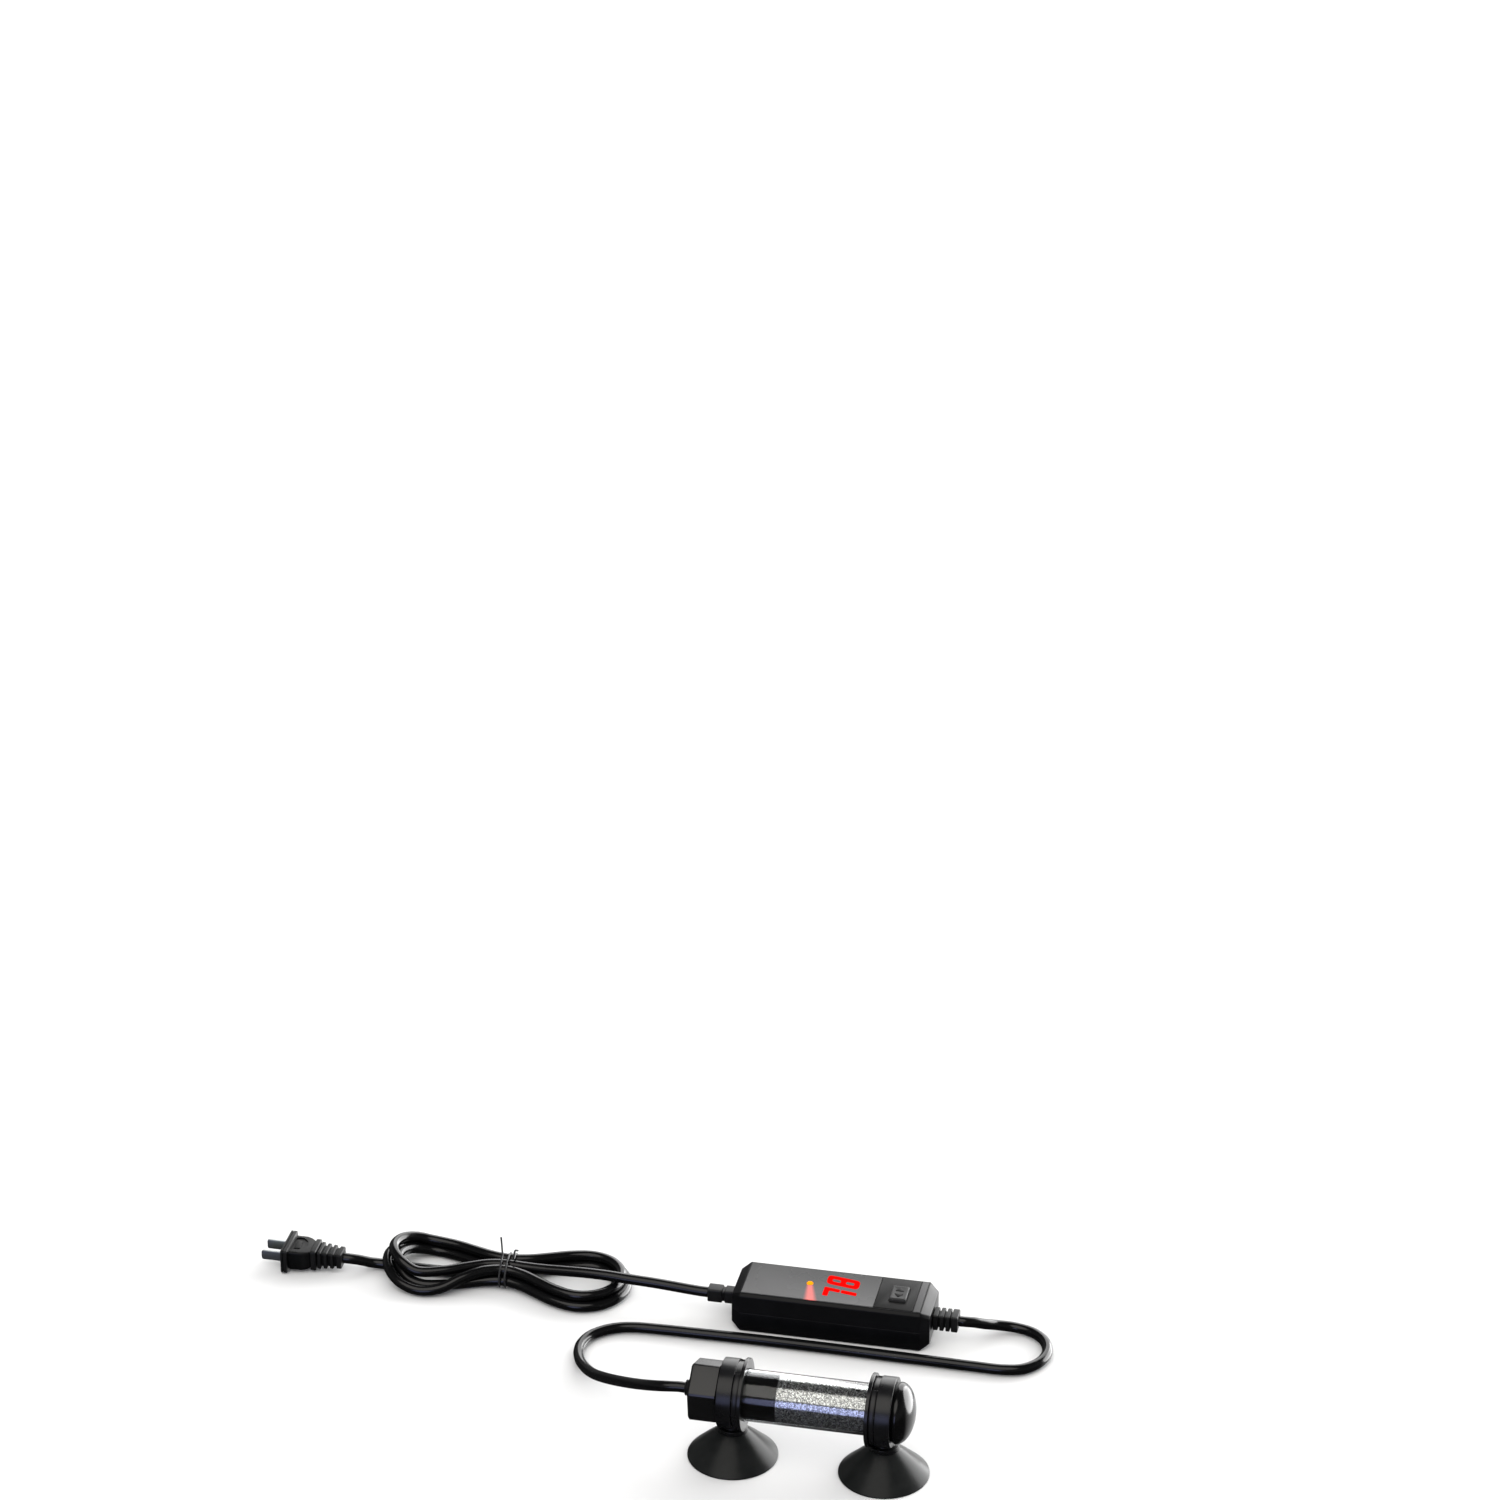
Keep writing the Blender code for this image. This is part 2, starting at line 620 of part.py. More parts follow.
def top_panel(name, left, right, finish, centre):
    low, high = (left, -PANEL_HALF_WIDTH, PANEL_LOW), (right, PANEL_HALF_WIDTH, PANEL_TOP)
    return place(box(name, low, high, finish, 0.15), centre)


def top_panels(centre, finishes):
    """The glossy display panel, the matt panel round the button, and the strip beyond it."""
    window = top_panel("display_window", -PANEL_END, WINDOW_RIGHT, finishes["panel"], centre)
    hole = place(led_hole("window_led_hole", finishes["panel"]), centre, LED_X, LED_Y)
    combine(window, hole, "DIFFERENCE")
    left, right = WINDOW_RIGHT + GAP, STRIP_LEFT - GAP
    panel = top_panel("button_panel", left, right, finishes["black_satin"], centre)
    hole = place(button_hole("panel_button_hole", finishes["panel"]), centre, BUTTON_X, BUTTON_Y)
    combine(panel, hole, "DIFFERENCE")
    top_panel("panel_strip", STRIP_LEFT, PANEL_END, finishes["panel"], centre)


def set_button(finishes):
    """A rectangular cap on a plunger. Its origin is at the middle of its top, on its line of travel."""
    pivot = empty("set_button_axis", CASE_X + BUTTON_X, CASE_Y + BUTTON_Y, BUTTON_TOP)
    low, high = (-BUTTON_HALF_X, -BUTTON_HALF_Y, BUTTON_LOW - BUTTON_TOP), (BUTTON_HALF_X, BUTTON_HALF_Y, 0.0)
    cap = place(box("set_button", low, high, finishes["button"], 0.5), pivot)
    plunger_ends = PLUNGER_LOW - BUTTON_TOP, BUTTON_LOW - BUTTON_TOP + 1.0
    plunger = rod("button_plunger", 1.6, *plunger_ends, finishes["button"], 12)
    combine(cap, place(plunger, pivot), "UNION")


def electronics(centre, finishes):
    board = box("circuit_board", (-47.0, -15.5, BOARD_LOW), (47.0, 15.5, BOARD_TOP), finishes["board"])
    place(board, centre)
    base = BOARD_TOP + GAP
    blocks = (
        ("terminal_block", (-45.0, -8.0, base), (-38.0, 8.0, 17.0), "wire_white"),
        ("relay", (-35.0, 3.5, base), (-20.0, 13.5, 20.9), "epoxy"),
        ("transformer", (-35.0, -13.0, base), (-20.0, -1.0, 21.9), "copper"),
    )
    for name, low, high, slot in blocks:
        place(box(name, low, high, finishes[slot], 0.4), centre)
    place(rod("capacitor", 3.6, base, 20.0, finishes["aluminium"], 16), centre, -13.8, -9.0)
    low, high = (-8.9, -14.3, 17.6), (16.7, 15.0, PANEL_LOW - GAP)
    module = place(box("display_module", low, high, finishes["display"], 0.3), centre)
    for i, y in enumerate((-11.0, 11.0)):
        pins = box(f"display_pins_{i}", (-6.0, y - 0.8, base), (14.0, y + 0.8, 18.6), finishes["display"])
        combine(module, place(pins, centre), "UNION")
    led_top = PANEL_TOP + 0.7
    lens = [(0, 17.0), (LED_RADIUS, 17.0), (LED_RADIUS, PANEL_TOP - 0.2), (1.5, led_top - 0.3), (0, led_top)]
    led = place(turned("indicator_led", lens, finishes["led"], 16), centre, LED_X, LED_Y)
    for i, y in enumerate((-1.0, 1.0)):
        leg = rod(f"led_leg_{i}", 0.4, base, 18.0, finishes["led"], 8)
        combine(led, place(leg, centre, LED_X, LED_Y + y), "UNION")
    switch = box("tact_switch", (-3.0, -3.0, base), (3.0, 3.0, 13.4), finishes["epoxy"], 0.3)
    place(switch, centre, BUTTON_X, BUTTON_Y)
    stem = rod("switch_stem", 1.7, 13.0, PLUNGER_LOW - BUTTON_TRAVEL - GAP, finishes["epoxy"], 12)
    combine(switch, place(stem, centre, BUTTON_X, BUTTON_Y), "UNION")


def case_screws(centre, finishes):
    outline = [(0, 0.9), (2.3, 0.9), (2.7, 1.3), (2.7, 2.6), (1.25, 2.6), (1.25, 20.0), (0, 20.4)]
    for i, (x, y) in enumerate(screw_places(), start=1):
        place(turned(f"case_screw_{i}", outline, finishes["steel"], 12), centre, x, y)


def strain_relief(name, side, ribs, centre, finish):
    """A ribbed relief that the case holds by its neck. A rib is (start, end, half width, half height)."""
    face = CASE_LENGTH / 2
    core = LEAD_RADIUS + 0.5
    stretches = [(-6.9, -4.95, 5.0, 5.0), (-4.95, GAP, 3.7, 3.7)] + ribs
    sections = []
    for i, (start, end, width, height) in enumerate(stretches):
        if i > 2:
            previous = stretches[i - 1][1]
            for x in (previous, start):
                sections.append((x, core, core))
        sections.append((start, width, height))
        sections.append((end, width, height))
    rings = []
    for x, width, height in sections:
        corner = min(width, height) * 0.25
        rings.append(cut_corner_block(side * (face + x), RELIEF_Y, RELIEF_Z, width, height, corner))
    place(lofted(name, rings, finish), centre)


def thermostat(finishes):
    centre = empty("thermostat", CASE_X, CASE_Y, 0)
    lower_case(centre, finishes)
    upper_case(centre, finishes)
    top_panels(centre, finishes)
    set_button(finishes)
    electronics(centre, finishes)
    case_screws(centre, finishes)
    mains_ribs = [(GAP, 6.6, 4.1, 4.3), (8.4, 17.4, 4.2, 4.4)]
    strain_relief("mains_relief", -1, mains_ribs, centre, finishes["black_rubber"])
    heater_ribs = [(GAP, 3.3, 5.5, 5.3), (4.5, 7.0, 5.5, 5.3), (8.2, 10.7, 5.5, 5.3), (11.6, 15.6, 5.6, 5.3)]
    strain_relief("heater_relief", 1, heater_ribs, centre, finishes["black_rubber"])


# ---- The leads, the hank and the plug ----


def hank_half_width(along):
    """Half the hank's width: round at its two ends and drawn in at its waist."""
    arc_centre = HANK_HALF - HANK_LOBE
    if along > arc_centre:
        return math.sqrt(max(HANK_LOBE**2 - (along - arc_centre) ** 2, 0.0))
    share = along / arc_centre
    return HANK_WAIST + (HANK_LOBE - HANK_WAIST) * share * share * (3 - 2 * share)


def mains_hank(finishes):
    """The outer shape of the folded and tied mains lead."""
    arc_centre = HANK_HALF - HANK_LOBE
    straight = [0.0, 3.0, 7.0, 13.0, 20.0, 28.0, 37.0]
    arc = [arc_centre + HANK_LOBE * math.sin(math.radians(a)) for a in (0, 18, 36, 54, 70, 84)]
    right = straight + arc
    sections = []
    for along in [-x for x in right[:0:-1]] + right:
        width = hank_half_width(abs(along))
        waist = abs(along) < 5.0
        low, top = (WAIST_LOW, WAIST_TOP) if waist else (HANK_LOW, HANK_TOP)
        middle, height = (low + top) / 2, (top - low) / 2
        corner = min(4.0, width * 0.5)
        sections.append(cut_corner_block(HANK_X + along, HANK_Y, middle, width, height, corner))
    place(lofted("mains_hank", sections, finishes["lead"]), None)


def twist_tie(finishes):
    """A wire wrapped once round the hank's waist, its two ends twisted up on top."""
    side, out = HANK_WAIST + 2.2, TIE_RADIUS + 0.35
    low, top = WAIST_LOW - out, WAIST_TOP + out
    wrap = [
        (-1.3, 3.0, top + 11.0),
        (-1.2, 1.6, top + 5.0),
        (-1.0, -1.0, top + 0.6),
        (-0.9, -side + 4.0, top),
        (-0.5, -side, top - 4.0),
        (-0.2, -side, low + 5.0),
        (-0.1, -side + 1.6, low + 1.5),
        (0.0, -side + 5.0, low),
        (0.1, 0.0, low),
        (0.2, side - 5.0, low),
        (0.3, side - 1.6, low + 1.5),
        (0.4, side, low + 5.0),
        (0.7, side, top - 4.0),
        (0.9, side - 4.0, top),
        (1.1, 3.0, top + 0.5),
        (1.3, 0.5, top + 3.6),
        (2.4, -1.6, top + 5.0),
    ]
    points = [(HANK_X + x, HANK_Y + y, z) for x, y, z in wrap]
    place(tube("twist_tie", smooth_route(points, 3.6), TIE_RADIUS, finishes["tie"], 1), None)


def plug(finishes):
    """A flat two-blade plug on its side, its ribbed relief towards the lead."""
    stretches = [
        (0.0, 3.0, 5.9, 5.1),
        (4.9, 7.2, 6.3, 5.4),
        (8.9, 11.2, 6.7, 5.7),
        (12.9, 15.1, 7.1, 6.0),
        (15.6, 19.4, 8.2, 6.9),
    ]
    core = (5.0, 4.4)
    sections = []
    for i, (start, end, width, height) in enumerate(stretches):
        if i:
            sections += [(stretches[i - 1][1], *core), (start, *core)]
        sections += [(start, width, height), (end, width, height)]
    sections += [(19.4, 7.4, 5.8), (22.0, 9.2, 6.2), (25.5, 10.4, 6.4), (33.0, 10.4, 6.4)]
    sections += [(33.0, 12.9, 7.7), (33.6, 13.3, 8.1), (PLUG_LENGTH, 13.3, 8.1)]
    rings = []
    for along, width, height in sections:
        corner = 1.2 if along > 19.4 else 1.6
        rings.append(cut_corner_block(PLUG_EXIT_X - along, PLUG_Y, PLUG_Z, width, height, corner))
    place(lofted("plug_body", rings, finishes["black_plastic"]), None)
    root = PLUG_EXIT_X - PLUG_LENGTH - GAP
    for name, side in (("plug_blade_front", -1), ("plug_blade_back", 1)):
        y = PLUG_Y + side * BLADE_SPACING / 2
        low = (root - BLADE_LENGTH + GAP, y - BLADE_THICKNESS / 2, PLUG_Z - BLADE_WIDTH / 2)
        high = (root, y + BLADE_THICKNESS / 2, PLUG_Z + BLADE_WIDTH / 2)
        place(box(name, low, high, finishes["blade"], 0.3), None)


def leads(finishes):
    """Each lead keeps the second point from an end that enters a fitting, so that it enters it straight."""
    for name, route, step, fitting_ends in (
        ("heater_lead", HEATER_LEAD_ROUTE, LEAD_STEP, (1, -1)),
        ("mains_lead", MAINS_LEAD_ROUTE, LEAD_STEP / 2, (1,)),
        ("mains_lead_tail", MAINS_TAIL_ROUTE, LEAD_STEP / 2, (-1,)),
    ):
        points = smooth_route(route, step)
        for end in fitting_ends:
            points.insert(end, Vector(route[1] if end == 1 else route[-2]))
        place(tube(name, points, LEAD_RADIUS, finishes["lead"]), None)


def all_finishes():
    return {
        "glass": material("clear_glass", (0.9, 0.93, 0.95), 0.03, alpha=0.35),
        "sand": material("quartz_sand", (0.42, 0.40, 0.36), 0.7),
        "ceramic": material("white_ceramic", (0.85, 0.84, 0.80), 0.5),
        "steel": material("steel", (0.6, 0.6, 0.62), 0.3, 1.0),
        "copper": material("transformer_winding", (0.55, 0.35, 0.08), 0.4),
        "aluminium": material("aluminium", (0.7, 0.7, 0.72), 0.35, 1.0),
        "epoxy": material("dark_moulding", (0.05, 0.05, 0.07), 0.5),
        "wire_red": material("red_sleeve", (0.6, 0.05, 0.04), 0.45),
        "wire_white": material("white_sleeve", (0.8, 0.8, 0.78), 0.45),
        "board": material("circuit_board", (0.03, 0.18, 0.07), 0.4),
        "display": material("display_block", (0.12, 0.02, 0.02), 0.3),
        "led": material("amber_lens", (1.0, 0.45, 0.03), 0.2),
        "panel": material("grey_gloss_panel", (0.13, 0.13, 0.135), 0.12),
        "button": material("button_plastic", (0.2, 0.2, 0.205), 0.35),
        "black_plastic": material("black_plastic", (0.02, 0.02, 0.022), 0.35),
        "black_gloss": material("black_gloss", (0.012, 0.012, 0.014), 0.15),
        "black_satin": material("black_satin", (0.018, 0.018, 0.02), 0.4),
        "black_rubber": material("black_rubber", (0.015, 0.015, 0.016), 0.55),
        "cup_rubber": material("cup_rubber", (0.03, 0.032, 0.032), 0.45),
        "lead": material("lead_sheath", (0.01, 0.01, 0.011), 0.25),
        "tie": material("tie_wire", (0.02, 0.02, 0.022), 0.35),
        "blade": material("plug_blade", (0.35, 0.37, 0.37), 0.35, 1.0),
    }


def build():
    clear_scene()
    finishes = all_finishes()
    axis = empty("heater_axis", HEATER_X, HEATER_Y, AXIS_HEIGHT)
    heater_tube(axis, finishes)
    heating_element(axis, finishes)
    end_caps(axis, finishes)
    cable_gland(axis, finishes)
    mountings(finishes)
    thermostat(finishes)
    leads(finishes)
    mains_hank(finishes)
    twist_tie(finishes)
    plug(finishes)


build()
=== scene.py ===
"""Looks of a submersible aquarium heater: its glass tube, clips, suction cups, thermostat, leads and plug.

Lengths are written in millimetres and become metres where a mesh, light or camera is made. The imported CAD
model gives the places. +X runs along the heater's tube and +Z is up.
"""

import math

import bmesh
import bpy
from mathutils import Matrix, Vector


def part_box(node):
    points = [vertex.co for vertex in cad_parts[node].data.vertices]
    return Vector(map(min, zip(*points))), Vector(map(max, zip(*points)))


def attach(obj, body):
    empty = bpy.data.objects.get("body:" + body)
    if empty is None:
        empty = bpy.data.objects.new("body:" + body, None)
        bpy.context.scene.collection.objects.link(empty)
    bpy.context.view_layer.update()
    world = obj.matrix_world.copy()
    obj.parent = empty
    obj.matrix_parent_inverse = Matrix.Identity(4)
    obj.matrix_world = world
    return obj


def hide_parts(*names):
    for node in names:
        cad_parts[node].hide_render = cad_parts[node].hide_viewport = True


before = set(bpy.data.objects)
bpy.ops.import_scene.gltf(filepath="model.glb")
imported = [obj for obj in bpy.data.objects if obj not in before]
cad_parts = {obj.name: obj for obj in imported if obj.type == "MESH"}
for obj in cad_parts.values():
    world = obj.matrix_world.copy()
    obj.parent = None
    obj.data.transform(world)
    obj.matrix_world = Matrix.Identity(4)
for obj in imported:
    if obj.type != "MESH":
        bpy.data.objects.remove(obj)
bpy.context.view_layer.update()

MM = 0.001


def mm_box(node):
    """The low and the high corner of a CAD node's box, in millimetres."""
    low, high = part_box(node)
    return low / MM, high / MM


# Places on the heater are counted along its tube from AXIS, places on the thermostat from CASE, places in
# the hank from TIE and places on the plug back from PLUG, where its lead comes out.
tube_low, tube_high = mm_box("glass_tube")
TUBE_RADIUS = (tube_high.y - tube_low.y) / 2
TUBE_LEFT, TUBE_RIGHT = -48.0, 46.5
AXIS = Vector((tube_low.x - TUBE_LEFT, (tube_low.y + tube_high.y) / 2, (tube_low.z + tube_high.z) / 2))
case_low, case_high = mm_box("lower_case")
CASE = Vector(((case_low.x + case_high.x) / 2, (case_low.y + case_high.y) / 2, 0.0))
CASE_HALF = (case_high.x - case_low.x) / 2
CASE_SIDE = (case_high.y - case_low.y) / 2
CASE_TOP = mm_box("upper_case")[1].z
PANEL_TOP = mm_box("display_window")[1].z
PANEL_HALF_WIDTH = 17.0
LED = Vector((CASE.x - 16.05, CASE.y + 0.9, CASE_TOP))
hank_low, hank_high = mm_box("mains_hank")
TIE = Vector(((hank_low.x + hank_high.x) / 2, (hank_low.y + hank_high.y) / 2, 0.0))
plug_low, plug_high = mm_box("plug_body")
PLUG = Vector((plug_high.x, (plug_low.y + plug_high.y) / 2, (plug_low.z + plug_high.z) / 2))
LEAD_DIAMETER = 6.6


# ---- Materials ----


class Finish:
    """A Principled material and short ways to add nodes to it."""

    def __init__(self, name):
        self.material = bpy.data.materials.new(name)
        self.material.use_nodes = True
        self.nodes = self.material.node_tree.nodes
        self.links = self.material.node_tree.links
        self.shader = self.nodes["Principled BSDF"]
        self.place = self.nodes.new("ShaderNodeTexCoord").outputs["Object"]

    def set(self, **values):
        """Sets sockets of the shader, named with _ for each space."""
        for name, value in values.items():
            self.shader.inputs[name.replace("_", " ")].default_value = value

    def join(self, output, name):
        """Feeds a node's output to one of the shader's sockets."""
        self.links.new(output, self.shader.inputs[name])

    def noise(self, size, detail, stretch=None):
        """Noise whose features are about that many millimetres wide."""
        node = self.nodes.new("ShaderNodeTexNoise")
        node.inputs["Scale"].default_value = 1.0 / (size * MM)
        node.inputs["Detail"].default_value = detail
        place = self.place
        if stretch:
            mapping = self.nodes.new("ShaderNodeMapping")
            mapping.inputs["Scale"].default_value = stretch
            self.links.new(place, mapping.inputs["Vector"])
            place = mapping.outputs["Vector"]
        self.links.new(place, node.inputs["Vector"])
        return node.outputs["Fac"]

    def cells(self, size):
        """Random values in cells about that many millimetres wide."""
        node = self.nodes.new("ShaderNodeTexVoronoi")
        node.inputs["Scale"].default_value = 1.0 / (size * MM)
        self.links.new(self.place, node.inputs["Vector"])
        return node.outputs["Color"], node.outputs["Distance"]

    def mapped(self, value, low, high, start=0.3, end=0.7, smooth=False):
        """A value between start and end, brought to between low and high."""
        node = self.nodes.new("ShaderNodeMapRange")
        node.interpolation_type = "SMOOTHSTEP" if smooth else "LINEAR"
        for name, number in (("From Min", start), ("From Max", end), ("To Min", low), ("To Max", high)):
            node.inputs[name].default_value = number
        self.links.new(value, node.inputs["Value"])
        return node.outputs["Result"]

    def maths(self, operation, *values):
        """The operation's result on numbers and nodes' outputs."""
        node = self.nodes.new("ShaderNodeMath")
        node.operation = operation
        for socket, value in zip(node.inputs, values):
            if isinstance(value, (int, float)):
                socket.default_value = value
            else:
                self.links.new(value, socket)
        return node.outputs["Value"]

    def coordinate(self, axis):
        """One coordinate of the surface's place, in millimetres."""
        node = self.nodes.new("ShaderNodeSeparateXYZ")
        self.links.new(self.place, node.inputs["Vector"])
        return self.maths("DIVIDE", node.outputs[axis], MM)

    def ramp(self, value, *stops):
        """Colours at places from 0 to 1, blended between."""
        node = self.nodes.new("ShaderNodeValToRGB")
        elements = node.color_ramp.elements
        while len(elements) < len(stops):
            elements.new(0.5)
        for element, (at, colour) in zip(elements, stops):
            element.position = at
            element.color = (*colour, 1.0)
        self.links.new(value, node.inputs["Fac"])
        return node.outputs["Color"]

    def mixed(self, share, first, second):
        """A node's colour turned towards a plain second colour by that share."""
        node = self.nodes.new("ShaderNodeMix")
        node.data_type = "RGBA"
        sockets = [s for s in node.inputs if s.type == "RGBA"]
        self.links.new(share, node.inputs["Factor"])
        self.links.new(first, sockets[0])
        sockets[1].default_value = (*second, 1.0)
        return next(s for s in node.outputs if s.type == "RGBA")

    def edges(self):
        """1 on outer edges and 0 elsewhere."""
        pointiness = self.nodes.new("ShaderNodeNewGeometry").outputs["Pointiness"]
        return self.mapped(pointiness, 0.0, 1.0, 0.51, 0.58)

    def bump(self, height, depth):
        """Relief of that many millimetres."""
        node = self.nodes.new("ShaderNodeBump")
        node.inputs["Distance"].default_value = depth * MM
        self.links.new(height, node.inputs["Height"])
        self.join(node.outputs["Normal"], "Normal")


def shade(colour, factor):
    """The colour made darker or paler by that factor."""
    return tuple(min(1.0, c * factor) for c in colour)


def moulded(name, colour, roughness, specular=0.4, grain=0.35, depth=0.012, edge_wear_and_highlight=0.35):
    """Moulded plastic or rubber: a fine spark-eroded grain, uneven gloss, and edges made paler, partly as
    wear and partly as a painted highlight.
    """
    finish = Finish(name)
    finish.set(Specular_IOR_Level=specular)
    cloud = finish.noise(14.0, 3.0)
    body = finish.ramp(cloud, (0.35, shade(colour, 0.8)), (0.65, shade(colour, 1.2)))
    # Pale edges: partly wear, partly a painted highlight on the rounded edges.
    pale_edge_share = finish.maths("MULTIPLY", finish.edges(), edge_wear_and_highlight)
    finish.join(finish.mixed(pale_edge_share, body, shade(colour, 3.5)), "Base Color")
    finish.join(finish.mapped(cloud, roughness * 0.88, roughness * 1.12), "Roughness")
    finish.bump(finish.noise(grain, 2.0), depth)
    return finish.material


def clear_glass():
    """Clear glass with the faintest smears."""
    finish = Finish("clear_glass")
    finish.set(Base_Color=(0.97, 0.99, 1.0, 1.0), Transmission_Weight=1.0, IOR=1.47)
    smear = finish.noise(9.0, 3.0)
    finish.join(finish.mapped(smear, 0.0, 0.03), "Roughness")
    return finish.material


def quartz_sand():
    """Grains of clear and grey quartz packed against the glass, a few of them sparkling."""
    finish = Finish("quartz_sand")
    random, distance = finish.cells(0.6)
    separate = finish.nodes.new("ShaderNodeSeparateColor")
    finish.links.new(random, separate.inputs["Color"])
    grains = finish.ramp(
        separate.outputs["Red"],
        (0.05, (0.13, 0.13, 0.125)),
        (0.3, (0.4, 0.4, 0.39)),
        (0.6, (0.62, 0.61, 0.58)),
        (0.95, (1.0, 1.0, 0.97)),
    )
    finish.join(grains, "Base Color")
    finish.set(Metallic=0.75)
    finish.join(finish.mapped(separate.outputs["Blue"], 0.08, 0.24, 0.0, 1.0), "Roughness")
    finish.bump(distance, 0.015)
    return finish.material


def lead_sheath():
    """Smooth black flexible sheath, with a faint unevenness from extrusion."""
    finish = Finish("lead_sheath")
    finish.set(Base_Color=(0.002, 0.002, 0.0022, 1.0), Specular_IOR_Level=0.5)
    cloud = finish.noise(25.0, 2.0)
    finish.join(finish.mapped(cloud, 0.14, 0.22), "Roughness")
    finish.bump(finish.noise(1.6, 3.0), 0.012)
    return finish.material


def cup_rubber():
    """Soft grey-black rubber with a low sheen and faint dust."""
    finish = Finish("cup_rubber")
    finish.set(Specular_IOR_Level=0.2)
    dust = finish.noise(6.0, 6.0)
    grey = finish.ramp(dust, (0.3, (0.007, 0.0076, 0.0075)), (0.75, (0.0105, 0.0112, 0.011)))
    finish.join(grey, "Base Color")
    finish.join(finish.mapped(dust, 0.28, 0.32), "Roughness")
    finish.bump(finish.noise(0.5, 2.0), 0.004)
    return finish.material


def display_panel():
    """Grey gloss panel, with a painted sheen that is paler towards its front edge and the indicator's red
    light painted on as a forward glow.
    """
    finish = Finish("grey_gloss_panel")
    finish.set(Specular_IOR_Level=0.08)
    along_y = finish.coordinate("Y")
    front, back = CASE.y - PANEL_HALF_WIDTH, CASE.y + PANEL_HALF_WIDTH
    # Painted sheen: the grey is paler towards the front edge, standing in for the panel's reflection.
    painted_sheen_share = finish.mapped(along_y, 1.0, 0.0, front, back)
    grey = finish.ramp(painted_sheen_share, (0.0, (0.024, 0.024, 0.0243)), (1.0, (0.125, 0.125, 0.126)))
    finish.join(grey, "Base Color")
    finish.join(finish.mapped(finish.noise(20.0, 3.0), 0.24, 0.32), "Roughness")
    # Painted glow: a fan of red emission in front of the indicator stands in for its light spilling over the
    # panel.
    lean, start_half_width, spread = 0.2, 2.1, 0.13
    reach = finish.maths("SUBTRACT", LED.y, along_y)
    centre = finish.maths("MULTIPLY_ADD", reach, lean, LED.x)
    across = finish.maths("ABSOLUTE", finish.maths("SUBTRACT", finish.coordinate("X"), centre))
    half_width = finish.maths("MULTIPLY_ADD", reach, spread, start_half_width)
    inside = finish.mapped(finish.maths("DIVIDE", across, half_width), 1.0, 0.0, 0.15, 1.15, smooth=True)
    ahead = finish.mapped(reach, 0.0, 1.0, 0.0, 3.0, smooth=True)
    finish.join(finish.maths("MULTIPLY", inside, ahead), "Emission Strength")
    finish.set(Emission_Color=(0.9, 0.1, 0.08, 1.0))
    return finish.material


def glowing(name, colour, strength, base):
    """A lit lens or segment, whose own colour is its base."""
    finish = Finish(name)
    finish.set(Base_Color=(*base, 1.0), Roughness=0.8, Specular_IOR_Level=0.0, Emission_Color=(*colour, 1.0))
    finish.join(finish.mapped(finish.noise(1.5, 1.0), strength * 0.9, strength * 1.1), "Emission Strength")
    return finish.material


def brushed_metal(name, colour, roughness, stretch):
    """Metal with fine lines. The stretch is how much finer they are along X, Y and Z."""
    finish = Finish(name)
    finish.set(Metallic=1.0)
    lines = finish.noise(0.25, 3.0, stretch)
    finish.join(finish.ramp(lines, (0.3, shade(colour, 0.85)), (0.7, shade(colour, 1.1))), "Base Color")
    finish.join(finish.mapped(lines, roughness * 0.8, roughness * 1.2), "Roughness")
    finish.bump(lines, 0.004)
    return finish.material


# Colour, roughness, specular level, width of the grain, its depth, and how far the edges are paled by wear
# and painted highlight
MOULDED = {
    "black_plastic": ((0.0025, 0.0025, 0.0027), 0.22, 0.65, 0.5, 0.005),
    "plug_plastic": ((0.003, 0.003, 0.0031), 0.42, 0.22, 0.5, 0.008, 0.6),
    "black_case": ((0.0022, 0.0022, 0.0026), 0.34, 0.2, 0.6, 0.012, 0.5),
    "black_flange": ((0.003, 0.003, 0.0033), 0.22, 0.5, 0.35, 0.003),
    "black_gloss": ((0.0015, 0.0015, 0.0017), 0.17, 0.5, 0.35, 0.002),
    "black_satin": ((0.003, 0.003, 0.0034), 0.29, 0.5, 0.4, 0.005),
    "black_band": ((0.0015, 0.0015, 0.0018), 0.35, 0.05, 0.8, 0.001),
    "black_rubber": ((0.004, 0.004, 0.0042), 0.46, 0.4, 0.3, 0.015),
    "dark_panel": ((0.004, 0.004, 0.004), 0.42, 0.12, 0.25, 0.015),
    "button_plastic": ((0.02, 0.02, 0.0204), 0.38, 0.2, 0.3),
    "pale_strip": ((0.042, 0.042, 0.0427), 0.36, 0.08, 0.4),
    "tie_wire": ((0.012, 0.012, 0.013), 0.35),
    "dark_moulding": ((0.03, 0.03, 0.045), 0.5),
    "display_block": ((0.1, 0.015, 0.015), 0.3),
}
